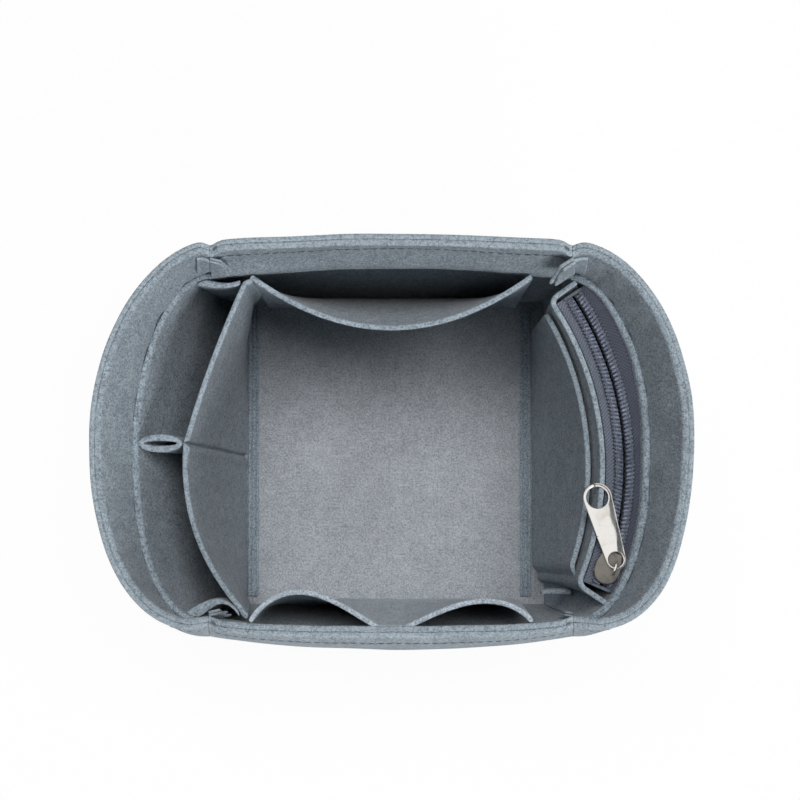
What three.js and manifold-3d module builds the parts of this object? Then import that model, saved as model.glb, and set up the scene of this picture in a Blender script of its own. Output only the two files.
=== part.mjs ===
// Purse organizer insert: an open felt tub that stands inside a bag, with slack pockets on its two long
// walls, a divided pocket at the left end and a zipped pocket with a slip pocket at the right end.
// Millimetres. X runs along the length, +Y points to the back wall, +Z up.
// The origin is the middle of the underside.
import * as THREE from "three";
import { mergeVertices } from "three/addons/utils/BufferGeometryUtils.js";
import Module from "manifold-3d";

// Felt
const FELT = 1.7; // thickness of every felt panel
const SEAM = 0.3; // clearance between two pieces that are sewn face to face

// Tub, measured over the outer felt
const HEIGHT = 130;
const BASE_LENGTH = 114;
const BASE_DEPTH = 114;
const RIM_LENGTH = 187; // over the two bulging ends
const RIM_DEPTH = 124.4; // over the two bowed long walls
const MOUTH_DEPTH = 127; // the same at the mouths of the pockets
const RIM_CORNER_DEPTH = 120; // between the corner seams at the rim
const RIM_SWAY = 1.8; // the rim stands this far to the back of the base
const MOUTH_SWAY = -1.5;
const END_DIP = 4; // the rim of a flared end hangs this much lower in its middle
const END_FLARE = 1.3; // power of the height with which an end bulges out
const MOUTH_FULL = { front: 0.8, rear: 1.12 }; // below 1 is an end fuller than an oval at its corners
const RIM_FULL = {
  right: { front: 0.7, rear: 1.1 },
  left: { front: 0.84, rear: 1.22 },
};
const WALL_FLARE = 1.4; // power of the height with which a long wall bows out below the mouths
const CORNER_EASE = 12; // swell of an end at which the corners are no longer square
const CORNER_GAP = 0.4; // each side stops this short of a corner seam

// Base
const BOARD = 1.5; // stiffening board between the base felt and the floor felt
const STRIP_WIDE = 3.8; // binding strip along each end of the floor
const STRIP_THICK = 1.2;

// Facing strip inside the rim, and the lining below it that carries the pockets
const MOUTH_DROP = 24; // from the rim down to the mouths of the pockets
const COLLAR_LAP = 6; // the facing reaches this far down past the lining's top edge
const COLLAR_TURN = 12; // above it, a long wall's facing goes back from the lining's front to the wall

// Seam allowance folded into each corner above the pockets
const TAB_LONG = 7.5;
const TAB_THICK = 3;
const TAB_SPLAY = 18; // degrees that its free edge turns away from the long wall
const TAB_CLEAR = 1.5; // to the rim above and to the pocket mouths below

// Left end pocket
const POCKET_INSET = 11; // its front panel's ends stand this far in from the corner seams
const DIVIDER_LONG = 14; // folded divider between the lining and the panel at the mouth
const DIVIDER_WIDE = 4.6;
const DIVIDER_SLIT = 1.2;
const DIVIDER_DEEP = 48;
const REAR_BELLY = 2; // how far the panel's rear half bows towards the end wall
const FRONT_BELLY = 12;
const GUSSET_FOOT = 16; // a pocket's side gussets stop this far above the floor
const GUSSET_GAP = 1.2; // from a gusset's edge to the lining, which it meets at a slant

// Slack pockets on the long walls
const BACK_POCKET_INSET = 13; // from the corner seams
const BACK_POCKET_SLACK = 18.6;
const FRONT_POCKET_INSET = 13.5;
const FRONT_POCKET_APART = 9; // seam between the two front pockets
const FRONT_POCKET_SLACK = { left: 10.2, right: 7.4 };
const SLACK_LEAN = 0.75; // below 1 moves a front pocket's fullest point outwards
const SLACK_DROOP = 1.3; // power of the height with which the slack grows

// Curved zip across the mouth of the right end pocket
const ZIP_END_INSET = { front: 7.2, rear: 2.2 }; // of the zip's line from the corner seams' line
const ZIP_SETBACK = { front: 5.6, middle: 6.9, rear: 7.1 }; // from the lining to the zip's centre line
const ZIP_GUSSET_SPLAY = { front: 9, rear: 0 }; // degrees that a gusset turns away from the zip's end
const ZIP_REAR_OPEN = 0.5; // the pocket is open behind the chain's rear end
const ZIP_DROP = 2.2; // tape below the pocket's mouth
const TAPE_THICK = 0.6;
const PANEL_SETBACK = 6.1; // from the zip's centre line to the pocket's front panel
const CHAIN_SLOT = 1.3; // open line between the two coils, where the slider's neck runs
const COIL_WIDE = 2.6;
const COIL_HIGH = 1.8;
const COIL_PITCH = 1.25;
const COIL_NOTCH = 0.6; // depth of the gap between two turns of the coil
const TACK_LONG = 0.8; // thread bar that ends the chain
const TACK_HIGH = 1.2;

// Slip pocket on the zipped pocket's face
const SLIP_DROP = 9; // its mouth lies this much lower
const SLIP_GAP = 1; // open gap at its mouth

// Zip slider and pull tab
const SLIDER_CLEAR = 0.5; // from the closed slider's nose to the thread bar
const SLIDER_NOSE = 5.9; // from the bail's middle forwards
const SLIDER_TAIL = 5;
const SLIDER_WIDE = 8.4;
const SLIDER_TAIL_WIDE = 6.4;
const SLIDER_SHOULDER = 0.8; // fullness of its rounded nose
const SLIDER_PLATE = 1.1;
const SLIDER_LIP = 0.6; // thickness of the rail on each side of the coils
const SLIDER_NECK = 0.6;
const BAIL_WIRE = 1;
const BAIL_ASIDE = 1.9; // the bail stands this far from the slider's middle, towards the end wall
const PULL_LONG = 20.4; // between the centres of its two holes
const PULL_RING = 4.55; // outer radius of the finger end
const PULL_RING_HOLE = 3.4;
const PULL_EYE = 3.15; // outer radius of the end on the bail
const PULL_EYE_HOLE = 2.35;
const PULL_THICK = 1.2;
const PULL_SKEW = 35; // degrees that the resting pull turns from the zip towards the room
const PULL_HANG = 24; // degrees round the eye from the tab's middle line to the place that hangs on the bail

// Places that follow from the sizes above
const LAYER = FELT + SEAM;
const WALL_FOOT = LAYER;
const FLOOR_FELT_FOOT = LAYER + BOARD + SEAM;
const FLOOR = FLOOR_FELT_FOOT + FELT;
const LINING_FOOT = FLOOR + SEAM;
const MOUTH = HEIGHT - MOUTH_DROP;
const COLLAR_FOOT = MOUTH - COLLAR_LAP;
const HALF_LENGTH = BASE_LENGTH / 2;

const lerp = THREE.MathUtils.lerp;
const radians = THREE.MathUtils.degToRad;
const plane = (x, y) => new THREE.Vector2(x, y);
const polar = (angle, radius) => plane(radius * Math.cos(angle), radius * Math.sin(angle));
const raise = (point, z) => new THREE.Vector3(point.x, point.y, z);

const finish = (color, roughness, metalness = 0) =>
  new THREE.MeshStandardMaterial({ color, roughness, metalness });
const shellFelt = finish(0x77828b, 0.95);
const pocketFelt = finish(0x6b7680, 0.95);
const floorFelt = finish(0x8f949b, 0.95);
const board = finish(0x3c3f43, 0.8);
const tapeCloth = finish(0x59626f, 0.85);
const coilNylon = finish(0x4a566a, 0.4);
const thread = finish(0x5c6670, 0.7);
const nickel = finish(0xd8d6d0, 0.2, 1);

const organizer = new THREE.Group();

function addPiece(name, geometry, material, parent = organizer) {
  const mesh = new THREE.Mesh(geometry, material);
  mesh.name = name;
  parent.add(mesh);
  return mesh;
}

// A closed body from points and triangles, turned so that its faces point out.
function closedBody(points, triangles) {
  let volume = 0;
  for (const [a, b, c] of triangles) {
    volume += points[a].dot(points[b].clone().cross(points[c]));
  }
  const faces = volume < 0 ? triangles.map(([a, b, c]) => [a, c, b]) : triangles;
  const geometry = new THREE.BufferGeometry().setFromPoints(points);
  geometry.setIndex(faces.flat());
  geometry.computeVertexNormals();
  return geometry;
}

// A sheet between two faces, each given as a point for column i and row j. A wrapped sheet is a tube.
function sheet(columns, rows, face, back, wrap = false) {
  const across = wrap ? columns : columns + 1;
  const points = [];
  for (const side of [face, back]) {
    for (let j = 0; j <= rows; j++) {
      for (let i = 0; i < across; i++) points.push(side(i, j));
    }
  }
  const at = (side, i, j) => (side * (rows + 1) + j) * across + (i % across);
  const triangles = [];
  const quad = (a, b, c, d) => triangles.push([a, b, c], [a, c, d]);
  for (let i = 0; i < columns; i++) {
    for (let j = 0; j < rows; j++) {
      quad(at(0, i, j), at(0, i + 1, j), at(0, i + 1, j + 1), at(0, i, j + 1));
      quad(at(1, i, j + 1), at(1, i + 1, j + 1), at(1, i + 1, j), at(1, i, j));
    }
    quad(at(0, i + 1, 0), at(0, i, 0), at(1, i, 0), at(1, i + 1, 0));
    quad(at(0, i, rows), at(0, i + 1, rows), at(1, i + 1, rows), at(1, i, rows));
  }
  if (!wrap) {
    for (let j = 0; j < rows; j++) {
      quad(at(0, 0, j), at(0, 0, j + 1), at(1, 0, j + 1), at(1, 0, j));
      quad(at(0, columns, j + 1), at(0, columns, j), at(1, columns, j), at(1, columns, j + 1));
    }
  }
  return closedBody(points, triangles);
}

// A body through a row of sections with the same number of corners.
function sweep(sections) {
  const corners = sections[0].length;
  const at = (k, i) => k * corners + (i % corners);
  const triangles = [];
  for (let i = 0; i < corners; i++) {
    for (let k = 0; k + 1 < sections.length; k++) {
      triangles.push([at(k, i), at(k, i + 1), at(k + 1, i + 1)], [at(k, i), at(k + 1, i + 1), at(k + 1, i)]);
    }
  }
  const last = sections.length - 1;
  for (let i = 1; i + 1 < corners; i++) {
    triangles.push([at(0, 0), at(0, i + 1), at(0, i)], [at(last, 0), at(last, i), at(last, i + 1)]);
  }
  return closedBody(sections.flat(), triangles);
}

// The tub's four sides, anticlockwise from above; along each, s goes from -1 to 1 between corner seams.
const sides = ["right", "back", "left", "front"];
const outwards = { right: plane(1, 0), back: plane(0, 1), left: plane(-1, 0), front: plane(0, -1) };
const isEnd = (side) => outwards[side].y === 0;
const endSwell = (s) => Math.max(Math.cos((s * Math.PI) / 2), 0);

// A measure that grows from nothing at the base to its value at the mouths, and goes on to one at the rim.
function upTheWall(z, atMouth, atRim) {
  if (z > MOUTH) return lerp(atMouth, atRim, (z - MOUTH) / MOUTH_DROP);
  return atMouth * (z / MOUTH) ** WALL_FLARE;
}
const cornerDepth = (z) => lerp(BASE_DEPTH, RIM_CORNER_DEPTH, z / HEIGHT);
const bowAt = (z) => upTheWall(z, MOUTH_DEPTH - cornerDepth(MOUTH), RIM_DEPTH - RIM_CORNER_DEPTH) / 2;

// Point in plan of a layer inset from the outer face, at a height. The base has square corners; higher up
// an end swells to half an oval that runs on smoothly from the long walls, and the rim leans to the back.
function tubPlan(side, s, z, inset) {
  const swell = ((RIM_LENGTH - BASE_LENGTH) / 2) * (z / (HEIGHT - END_DIP)) ** END_FLARE;
  const round = Math.min(swell / CORNER_EASE, 1);
  const seamX = HALF_LENGTH - inset * (1 - round);
  const seamY = cornerDepth(z) / 2 - inset;
  const sway = upTheWall(z, MOUTH_SWAY, RIM_SWAY);
  const turn = outwards[side].x + outwards[side].y;
  const atSeam = Math.abs(s) === 1 ? CORNER_GAP : 0;
  const aboveMouth = Math.max((z - MOUTH) / MOUTH_DROP, 0);
  if (isEnd(side)) {
    const half = turn * s < 0 ? "front" : "rear";
    const full = lerp(MOUTH_FULL[half], RIM_FULL[side][half], aboveMouth);
    const x = seamX + atSeam * round + (swell - inset * round) * endSwell(s) ** full;
    const y = Math.sin((s * Math.PI) / 2) * (seamY - atSeam * (1 - round));
    return plane(turn * x, turn * y + sway);
  }
  const bow = bowAt(z) * (1 - s * s);
  return plane(-turn * s * (seamX - atSeam), turn * (seamY + bow) + sway);
}

const turnLeft = (v) => plane(-v.y, v.x);
const rimHeight = (side, s) => HEIGHT - (isEnd(side) ? END_DIP * endSwell(s) : 0);

const steps = (from, to, count) =>
  Array.from({ length: count + 1 }, (_, k) => lerp(from, to, k / count));

// A felt layer of the tub's wall from corner to corner, through the given levels at each place along it.
function wallLayer(side, levelsAt, insetAt) {
  const columns = isEnd(side) ? 28 : 12;
  const grid = (depth) => (i, j) => {
    const s = lerp(-1, 1, i / columns);
    const z = levelsAt(s)[j];
    return raise(tubPlan(side, s, z, insetAt(z) + depth), z);
  };
  return sheet(columns, levelsAt(0).length - 1, grid(0), grid(FELT));
}

// At the ends the lining lies on the outer felt at the floor and on the collar at its top. On the long walls
// it lies on the outer felt all the way up, and the collar comes forward over its top edge.
const liningInset = (z) => {
  const share = (z - LINING_FOOT) / (COLLAR_FOOT - SEAM - LINING_FOOT);
  return LAYER * (1 + THREE.MathUtils.clamp(share, 0, 1));
};
const collarInset = (z) => LAYER * (1 + THREE.MathUtils.clamp((MOUTH + COLLAR_TURN - z) / COLLAR_TURN, 0, 1));

// How far the lining's room side lies from a point along a direction in plan, at a height.
function liningReach(side, from, direction, z) {
  const inset = liningInset(z) + FELT;
  const across = turnLeft(direction);
  const aside = (s) => tubPlan(side, s, z, inset).sub(from).dot(across);
  let low = -0.999;
  let high = 0.999;
  const rising = aside(high) > aside(low);
  for (let n = 0; n < 40; n++) {
    const middle = (low + high) / 2;
    if (aside(middle) < 0 === rising) low = middle;
    else high = middle;
  }
  return tubPlan(side, low, z, inset).sub(from).dot(direction);
}

const liningX = (side, y, z) => outwards[side].x * liningReach(side, plane(0, y), outwards[side], z);
const liningY = (side, x, z) => outwards[side].y * liningReach(side, plane(x, 0), outwards[side], z);

// A panel whose near face is given in plan for a share along it and a share of its height;
// its thickness stands to the left of the direction of travel.
function panel(columns, rows, foot, top, planAt) {
  const step = 0.5 / columns;
  const grid = (depth) => (i, j) => {
    const u = i / columns;
    const w = j / rows;
    const along = planAt(Math.min(u + step, 1), w).sub(planAt(Math.max(u - step, 0), w)).normalize();
    return raise(planAt(u, w).addScaledVector(turnLeft(along), depth), lerp(foot, top, w));
  };
  return sheet(columns, rows, grid(0), grid(FELT));
}

// A gusset stands between a pocket's front panel and the lining, along a ray from the panel's end.
function gusset(side, foot, endAt, angleAt, thicknessSign) {
  const rows = 4;
  const columns = 2;
  const grid = (depth) => (i, j) => {
    const z = lerp(foot, MOUTH, j / rows);
    const direction = polar(angleAt(z), 1);
    const start = endAt(z).addScaledVector(turnLeft(direction), depth * thicknessSign);
    const long = liningReach(side, start, direction, z) - GUSSET_GAP;
    return raise(start.addScaledVector(direction, (long * i) / columns), z);
  };
  return sheet(columns, rows, grid(0), grid(FELT));
}

function slab(name, long, deep, foot, thick, material, x = 0) {
  const mesh = addPiece(name, new THREE.BoxGeometry(long, deep, thick), material);
  mesh.position.set(x, 0, foot + thick / 2);
}

// Base: outer felt, board and floor felt
const innerLength = BASE_LENGTH - 2 * LAYER;
const innerDepth = BASE_DEPTH - 2 * LAYER;
slab("base_felt", BASE_LENGTH, BASE_DEPTH, 0, FELT, shellFelt);
slab("base_board", innerLength, innerDepth, LAYER, BOARD, board);
slab("floor_felt", innerLength, innerDepth, FLOOR_FELT_FOOT, FELT, floorFelt);

// Outer walls, collars and linings
for (const side of sides) {
  const name = isEnd(side) ? `${side}_end` : side;
  const collarLevels = (s) => [COLLAR_FOOT, MOUTH, MOUTH + COLLAR_TURN, rimHeight(side, s)];
  const wallLevels = (s) => [...steps(WALL_FOOT, COLLAR_FOOT, 3), ...collarLevels(s).slice(1)];
  const liningLevels = () => [...steps(LINING_FOOT, COLLAR_FOOT, 3), MOUTH];
  addPiece(`${name}_wall`, wallLayer(side, wallLevels, () => 0), shellFelt);
  const onTheWall = () => LAYER;
  const [collarAt, liningAt] = isEnd(side) ? [onTheWall, liningInset] : [collarInset, onTheWall];
  addPiece(`${name}_collar`, wallLayer(side, collarLevels, collarAt), shellFelt);
  addPiece(`${name}_lining`, wallLayer(side, liningLevels, liningAt), pocketFelt);
}

// Corner tabs, folded against the facing of the long walls
for (const side of ["front", "back"]) {
  for (const [hand, name] of [[-1, "left"], [1, "right"]]) {
    const splay = radians(TAB_SPLAY);
    const back = outwards[side].y;
    const along = plane(-hand * Math.cos(splay), -back * Math.sin(splay));
    const across = plane(hand * Math.sin(splay), -back * Math.cos(splay));
    const section = (z) => {
      const corner = tubPlan(side, -1, z, collarInset(z) + FELT);
      const near = plane(hand * Math.abs(corner.x), corner.y).addScaledVector(across, SEAM);
      const outline = [[0, 0], [TAB_LONG, 0], [TAB_LONG, TAB_THICK], [0, TAB_THICK]];
      return outline.map(([u, v]) =>
        raise(near.clone().addScaledVector(along, u).addScaledVector(across, v), z));
    };
    const levels = [MOUTH + TAB_CLEAR, MOUTH + COLLAR_TURN, HEIGHT - TAB_CLEAR];
    addPiece(`${side}_${name}_corner_tab`, sweep(levels.map(section)), shellFelt);
  }
}

// Binding strips on the floor, in front of the end pockets' panels
const stripDeep = innerDepth - 4 * LAYER - 2 * SEAM;
const stripFoot = FLOOR + SEAM;
const leftStripX = STRIP_WIDE / 2 + 3 * LAYER - HALF_LENGTH;
const rightStripX = HALF_LENGTH - 4 * LAYER - STRIP_WIDE / 2;
slab("left_floor_strip", STRIP_WIDE, stripDeep, stripFoot, STRIP_THICK, shellFelt, leftStripX);
slab("right_floor_strip", STRIP_WIDE, stripDeep, stripFoot, STRIP_THICK, shellFelt, rightStripX);

// Left end pocket: front panel pinched in its middle by the divider, and a gusset at each end
const panelFootX = HALF_LENGTH - 2 * LAYER; // an end pocket's panel meets the lining here at the floor
const panelHeight = MOUTH - LINING_FOOT;
const heightShare = (z) => (z - LINING_FOOT) / panelHeight;
const leftEndX = -(HALF_LENGTH - POCKET_INSET);
const pinch = plane(liningX("left", 0, MOUTH) + DIVIDER_LONG + 2 * SEAM, 0);

// The end of a gusset in the room, where it covers the end of the left pocket's front panel.
const leftGussetEnd = (side) => (z) => {
  const corner = tubPlan(side, 1, z, liningInset(z) + FELT);
  const x = lerp(FELT - panelFootX, leftEndX, heightShare(z));
  return plane(x, corner.y - outwards[side].y * SEAM);
};
const panelEnd = (side, z) => {
  const end = leftGussetEnd(side)(z);
  return plane(end.x - FELT, end.y - outwards[side].y * LAYER);
};

function bowed(from, to, belly) {
  const across = turnLeft(to.clone().sub(from).normalize());
  const middle = from.clone().lerp(to, 0.5).addScaledVector(across, belly);
  return new THREE.QuadraticBezierCurve(from, middle, to);
}
const leftMouth = new THREE.CurvePath();
leftMouth.add(bowed(panelEnd("front", MOUTH), pinch, FRONT_BELLY));
leftMouth.add(bowed(pinch, panelEnd("back", MOUTH), REAR_BELLY));

const leftFootAt = (u) => panelEnd("front", LINING_FOOT).lerp(panelEnd("back", LINING_FOOT), u);
const leftPanelAt = (u, w) => leftFootAt(u).lerp(leftMouth.getPoint(u), w);
const leftPanel = panel(24, 4, LINING_FOOT, MOUTH, (u, w) => leftPanelAt(1 - u, w));
addPiece("left_pocket_panel", leftPanel, pocketFelt);
for (const [side, name, sign] of [["back", "rear", 1], ["front", "front", -1]]) {
  const foot = FLOOR + GUSSET_FOOT;
  const body = gusset("left", foot, leftGussetEnd(side), () => Math.PI, sign);
  addPiece(`left_pocket_${name}_gusset`, body, pocketFelt);
}

// The divider is a folded loop of felt, open along its middle
{
  const columns = 20;
  const rows = 3;
  const pinchShare = leftMouth.getCurveLengths()[0] / leftMouth.getLength();
  const wall = (DIVIDER_WIDE - DIVIDER_SLIT) / 2;
  const grid = (depth) => (i, j) => {
    const z = lerp(MOUTH - DIVIDER_DEEP, MOUTH, j / rows);
    const near = liningX("left", 0, z) + SEAM;
    const far = leftPanelAt(pinchShare, heightShare(z)).x - SEAM;
    const angle = (2 * Math.PI * i) / columns;
    const half = (far - near) / 2 - Math.min(depth, (far - near) / 4);
    const x = (near + far) / 2 + half * Math.cos(angle);
    const y = (DIVIDER_WIDE / 2 - depth) * Math.sin(angle);
    return new THREE.Vector3(x, y, z);
  };
  addPiece("left_pocket_divider", sheet(columns, rows, grid(0), grid(wall), true), pocketFelt);
}

// Slack pockets: the panel hangs away from the lining most at its mouth
function slackPanel(side, columns, half, slackAt) {
  const inwards = -outwards[side].y;
  return panel(columns, 5, LINING_FOOT, MOUTH, (u, w) => {
    const x = lerp(-half, half, u) * inwards;
    const z = lerp(LINING_FOOT, MOUTH, w);
    return plane(x, liningY(side, x, z) + inwards * (SEAM + slackAt(x) * w ** SLACK_DROOP));
  });
}
const backHalf = HALF_LENGTH - BACK_POCKET_INSET;
const backSlack = (x) => BACK_POCKET_SLACK * (1 - (x / backHalf) ** 2);
addPiece("back_pocket_panel", slackPanel("back", 22, backHalf, backSlack), pocketFelt);

const frontHalf = HALF_LENGTH - FRONT_POCKET_INSET;
const frontPocketWide = frontHalf - FRONT_POCKET_APART / 2;
const frontSlack = (x) => {
  const share = THREE.MathUtils.clamp((frontHalf - Math.abs(x)) / frontPocketWide, 0, 1);
  return FRONT_POCKET_SLACK[x < 0 ? "left" : "right"] * Math.sin(Math.PI * share ** SLACK_LEAN);
};
addPiece("front_pocket_panel", slackPanel("front", 36, frontHalf, frontSlack), pocketFelt);

// Centre of the circle through three points
function circleCentre(a, b, c) {
  const ab = b.clone().sub(a);
  const ac = c.clone().sub(a);
  const lift = turnLeft(ab).multiplyScalar(ac.lengthSq()).sub(turnLeft(ac).multiplyScalar(ab.lengthSq()));
  return a.clone().addScaledVector(lift, 1 / (2 * ab.cross(ac)));
}

// Zipped pocket at the right end, laid out in polar measure about the centre of the zip's arc
const mouthCornerY = (side) => tubPlan(side, 1, MOUTH, liningInset(MOUTH) + FELT).y;
const zipStation = (y, setback) => plane(liningX("right", y, MOUTH) - setback, y);
const zipEnds = [
  zipStation(mouthCornerY("front") + ZIP_END_INSET.front, ZIP_SETBACK.front),
  zipStation(mouthCornerY("back") - ZIP_END_INSET.rear, ZIP_SETBACK.rear),
];
const zipCentre = circleCentre(zipEnds[0], zipStation(0, ZIP_SETBACK.middle), zipEnds[1]);
const zipRadius = zipEnds[0].distanceTo(zipCentre);
const onZip = (angle, radius) => polar(angle, radius).add(zipCentre);
const panelRadius = zipRadius - PANEL_SETBACK;
const gussetAngle = zipEnds.map((end) => Math.atan2(end.y - zipCentre.y, end.x - zipCentre.x));

// Zip side of the pocket's front panel, or a face further into the room, from the front to the rear gusset.
function zipPanelAt(u, w, depth, trim) {
  const turn = trim / panelRadius;
  const angle = lerp(gussetAngle[0] + turn, gussetAngle[1] - turn, u);
  const mouth = onZip(angle, panelRadius - depth);
  const y = lerp(zipEndY(0) + trim, zipEndY(1) - trim, u);
  return plane(panelFootX - depth, y).lerp(mouth, w);
}
const zipEndY = (end) => onZip(gussetAngle[end], panelRadius).y;
const zipPanel = panel(22, 4, LINING_FOOT, MOUTH, (u, w) => zipPanelAt(u, w, 0, LAYER));
addPiece("zip_pocket_panel", zipPanel, pocketFelt);

for (const [end, name, sign] of [[0, "front", 1], [1, "rear", -1]]) {
  const topAngle = gussetAngle[end] - sign * radians(ZIP_GUSSET_SPLAY[name]);
  const body = gusset(
    "right",
    FLOOR + GUSSET_FOOT,
    (z) => zipPanelAt(end, heightShare(z), FELT, 0),
    (z) => topAngle * heightShare(z),
    sign,
  );
  addPiece(`zip_pocket_${name}_gusset`, body, pocketFelt);
}

// Slip pocket on the zipped pocket's room side
const slipTop = MOUTH - SLIP_DROP;
const slipPanel = panel(22, 4, LINING_FOOT, slipTop, (u, w) => {
  const stand = FELT + lerp(SEAM, SLIP_GAP, w);
  return zipPanelAt(u, w * heightShare(slipTop), stand, LAYER);
});
addPiece("slip_pocket_panel", slipPanel, pocketFelt);

// Zip tapes, coils and the thread bars at both ends
const tapeTop = MOUTH - ZIP_DROP;
const tapeFoot = tapeTop - TAPE_THICK;
const coilFoot = tapeTop + SEAM;
const coilTop = coilFoot + COIL_HIGH;
const slotHalf = CHAIN_SLOT / 2;
const tapeTurn = (LAYER + SEAM) / panelRadius;
const tapeAngle = [gussetAngle[0] + tapeTurn, gussetAngle[1] - tapeTurn - ZIP_REAR_OPEN / zipRadius];

function tape(innerAt, outerAt) {
  const columns = 28;
  const grid = (z) => (i, j) => {
    const angle = lerp(tapeAngle[0], tapeAngle[1], i / columns);
    return raise(onZip(angle, j ? outerAt(angle) : innerAt(angle)), z);
  };
  return sheet(columns, 1, grid(tapeFoot), grid(tapeTop));
}
const toLining = (angle) => liningReach("right", zipCentre, polar(angle, 1), tapeTop) - SEAM;
addPiece("zip_tape_room_side", tape(() => panelRadius + SEAM, () => zipRadius - slotHalf), tapeCloth);
addPiece("zip_tape_wall_side", tape(() => zipRadius + slotHalf, toLining), tapeCloth);

const tackTurn = (TACK_LONG + SEAM) / zipRadius;
const coilAngle = [tapeAngle[0] + tackTurn, tapeAngle[1] - tackTurn];

// The turns of a coil show as ridges across it, one to each pitch.
function coil(outwardSign) {
  const turns = Math.round(((coilAngle[1] - coilAngle[0]) * zipRadius) / COIL_PITCH);
  const sections = [];
  for (let k = 0; k <= 2 * turns; k++) {
    const angle = lerp(coilAngle[0], coilAngle[1], k / (2 * turns));
    const notch = k % 2 ? 0 : COIL_NOTCH;
    const near = zipRadius + outwardSign * (slotHalf + notch / 2);
    const far = zipRadius + outwardSign * (slotHalf + COIL_WIDE);
    const corners = [[near, coilFoot], [far, coilFoot], [far, coilTop - notch], [near, coilTop - notch]];
    sections.push(corners.map(([radius, z]) => raise(onZip(angle, radius), z)));
  }
  return sweep(sections);
}
addPiece("zip_coil_room_side", coil(-1), coilNylon);
addPiece("zip_coil_wall_side", coil(1), coilNylon);

const tackWide = CHAIN_SLOT + 2 * COIL_WIDE;
for (const [name, angle] of [
  ["front", tapeAngle[0] + TACK_LONG / 2 / zipRadius],
  ["rear", tapeAngle[1] - TACK_LONG / 2 / zipRadius],
]) {
  const tack = addPiece(`zip_${name}_tack`, new THREE.BoxGeometry(tackWide, TACK_LONG, TACK_HIGH), thread);
  tack.position.copy(raise(onZip(angle, zipRadius), coilFoot + TACK_HIGH / 2));
  tack.rotation.z = angle;
}

// Slider: two plates joined by a neck that runs in the slot, with a rail on each side of the coils.
// Its own frame has X along the zip to the rear, Y to the arc's centre and Z up from the part's underside.
const wasm = await Module();
wasm.setup();

function toSolid(geometry) {
  const bare = geometry.clone();
  bare.deleteAttribute("normal");
  bare.deleteAttribute("uv");
  const merged = mergeVertices(bare, 1e-4);
  const triVerts = new Uint32Array(merged.index.array);
  const vertProperties = merged.attributes.position.array;
  return new wasm.Manifold(new wasm.Mesh({ numProp: 3, vertProperties, triVerts }));
}

function fromSolid(solid) {
  const mesh = solid.getMesh();
  const geometry = new THREE.BufferGeometry();
  geometry.setAttribute("position", new THREE.BufferAttribute(mesh.vertProperties, 3));
  geometry.setIndex(new THREE.BufferAttribute(mesh.triVerts, 1));
  geometry.computeVertexNormals();
  return geometry;
}

const slider = new THREE.Group();
const sliderTurn = coilAngle[0] + (SLIDER_CLEAR + SLIDER_NOSE) / zipRadius;
slider.position.copy(raise(onZip(sliderTurn, zipRadius), 0));
slider.rotation.z = sliderTurn + Math.PI / 2;
organizer.add(slider);

const halfWide = SLIDER_WIDE / 2;
const plateOutline = new THREE.Shape();
plateOutline.moveTo(SLIDER_TAIL, -SLIDER_TAIL_WIDE / 2);
plateOutline.lineTo(SLIDER_TAIL, SLIDER_TAIL_WIDE / 2);
plateOutline.quadraticCurveTo(SLIDER_TAIL / 3, SLIDER_TAIL_WIDE / 2, 0, halfWide);
const shoulder = halfWide * SLIDER_SHOULDER;
plateOutline.bezierCurveTo(-SLIDER_NOSE / 2, halfWide, -SLIDER_NOSE, shoulder, -SLIDER_NOSE, 0);
plateOutline.bezierCurveTo(-SLIDER_NOSE, -shoulder, -SLIDER_NOSE / 2, -halfWide, 0, -halfWide);
plateOutline.quadraticCurveTo(SLIDER_TAIL / 3, -SLIDER_TAIL_WIDE / 2, SLIDER_TAIL, -SLIDER_TAIL_WIDE / 2);

const plateFoot = coilTop + SEAM;
const plateTop = plateFoot + SLIDER_PLATE;
const lowerPlateFoot = tapeFoot - SEAM - SLIDER_PLATE;
const plate = (foot, thick) =>
  toSolid(
    new THREE.ExtrudeGeometry(plateOutline, { depth: thick, bevelEnabled: false, curveSegments: 8 })
      .translate(0, 0, foot),
  );
const block = (long, wide, high, x, y, z) =>
  toSolid(new THREE.BoxGeometry(long, wide, high).translate(x, y, z));

const neckLong = SLIDER_NOSE / 2;
const neckHigh = plateFoot - lowerPlateFoot;
const railHigh = COIL_HIGH / 2;
let sliderBody = plate(plateFoot, SLIDER_PLATE).add(plate(lowerPlateFoot, SLIDER_PLATE));
sliderBody = sliderBody.add(
  block(neckLong, SLIDER_NECK, neckHigh, -SLIDER_NOSE + neckLong, 0, lowerPlateFoot + neckHigh / 2),
);
for (const side of [-1, 1]) {
  const rail = block(SLIDER_NOSE / 2, SLIDER_LIP, railHigh + SLIDER_PLATE / 2, -SLIDER_NOSE / 4,
    side * (halfWide - SLIDER_LIP / 2), plateFoot - railHigh / 2 + SLIDER_PLATE / 4);
  sliderBody = sliderBody.add(rail);
}
addPiece("zip_slider", fromSolid(sliderBody), nickel, slider);

// The bail is a wire arch along the slider, round the end of the pull tab's eye
const eyeRim = PULL_EYE - PULL_EYE_HOLE;
const pivotToEye = PULL_EYE_HOLE + eyeRim / 2; // the tab turns about the end of its eye, under the bail
const hang = radians(PULL_HANG);
const skew = radians(PULL_SKEW);
const bailRadius = pivotToEye * Math.cos(skew - hang);
const eyeBehind = PULL_EYE - pivotToEye * Math.cos(hang); // of the eye's edge behind the pivot
const pivotHeight = plateTop + SEAM + Math.hypot(PULL_THICK / 2, eyeBehind);

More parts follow.
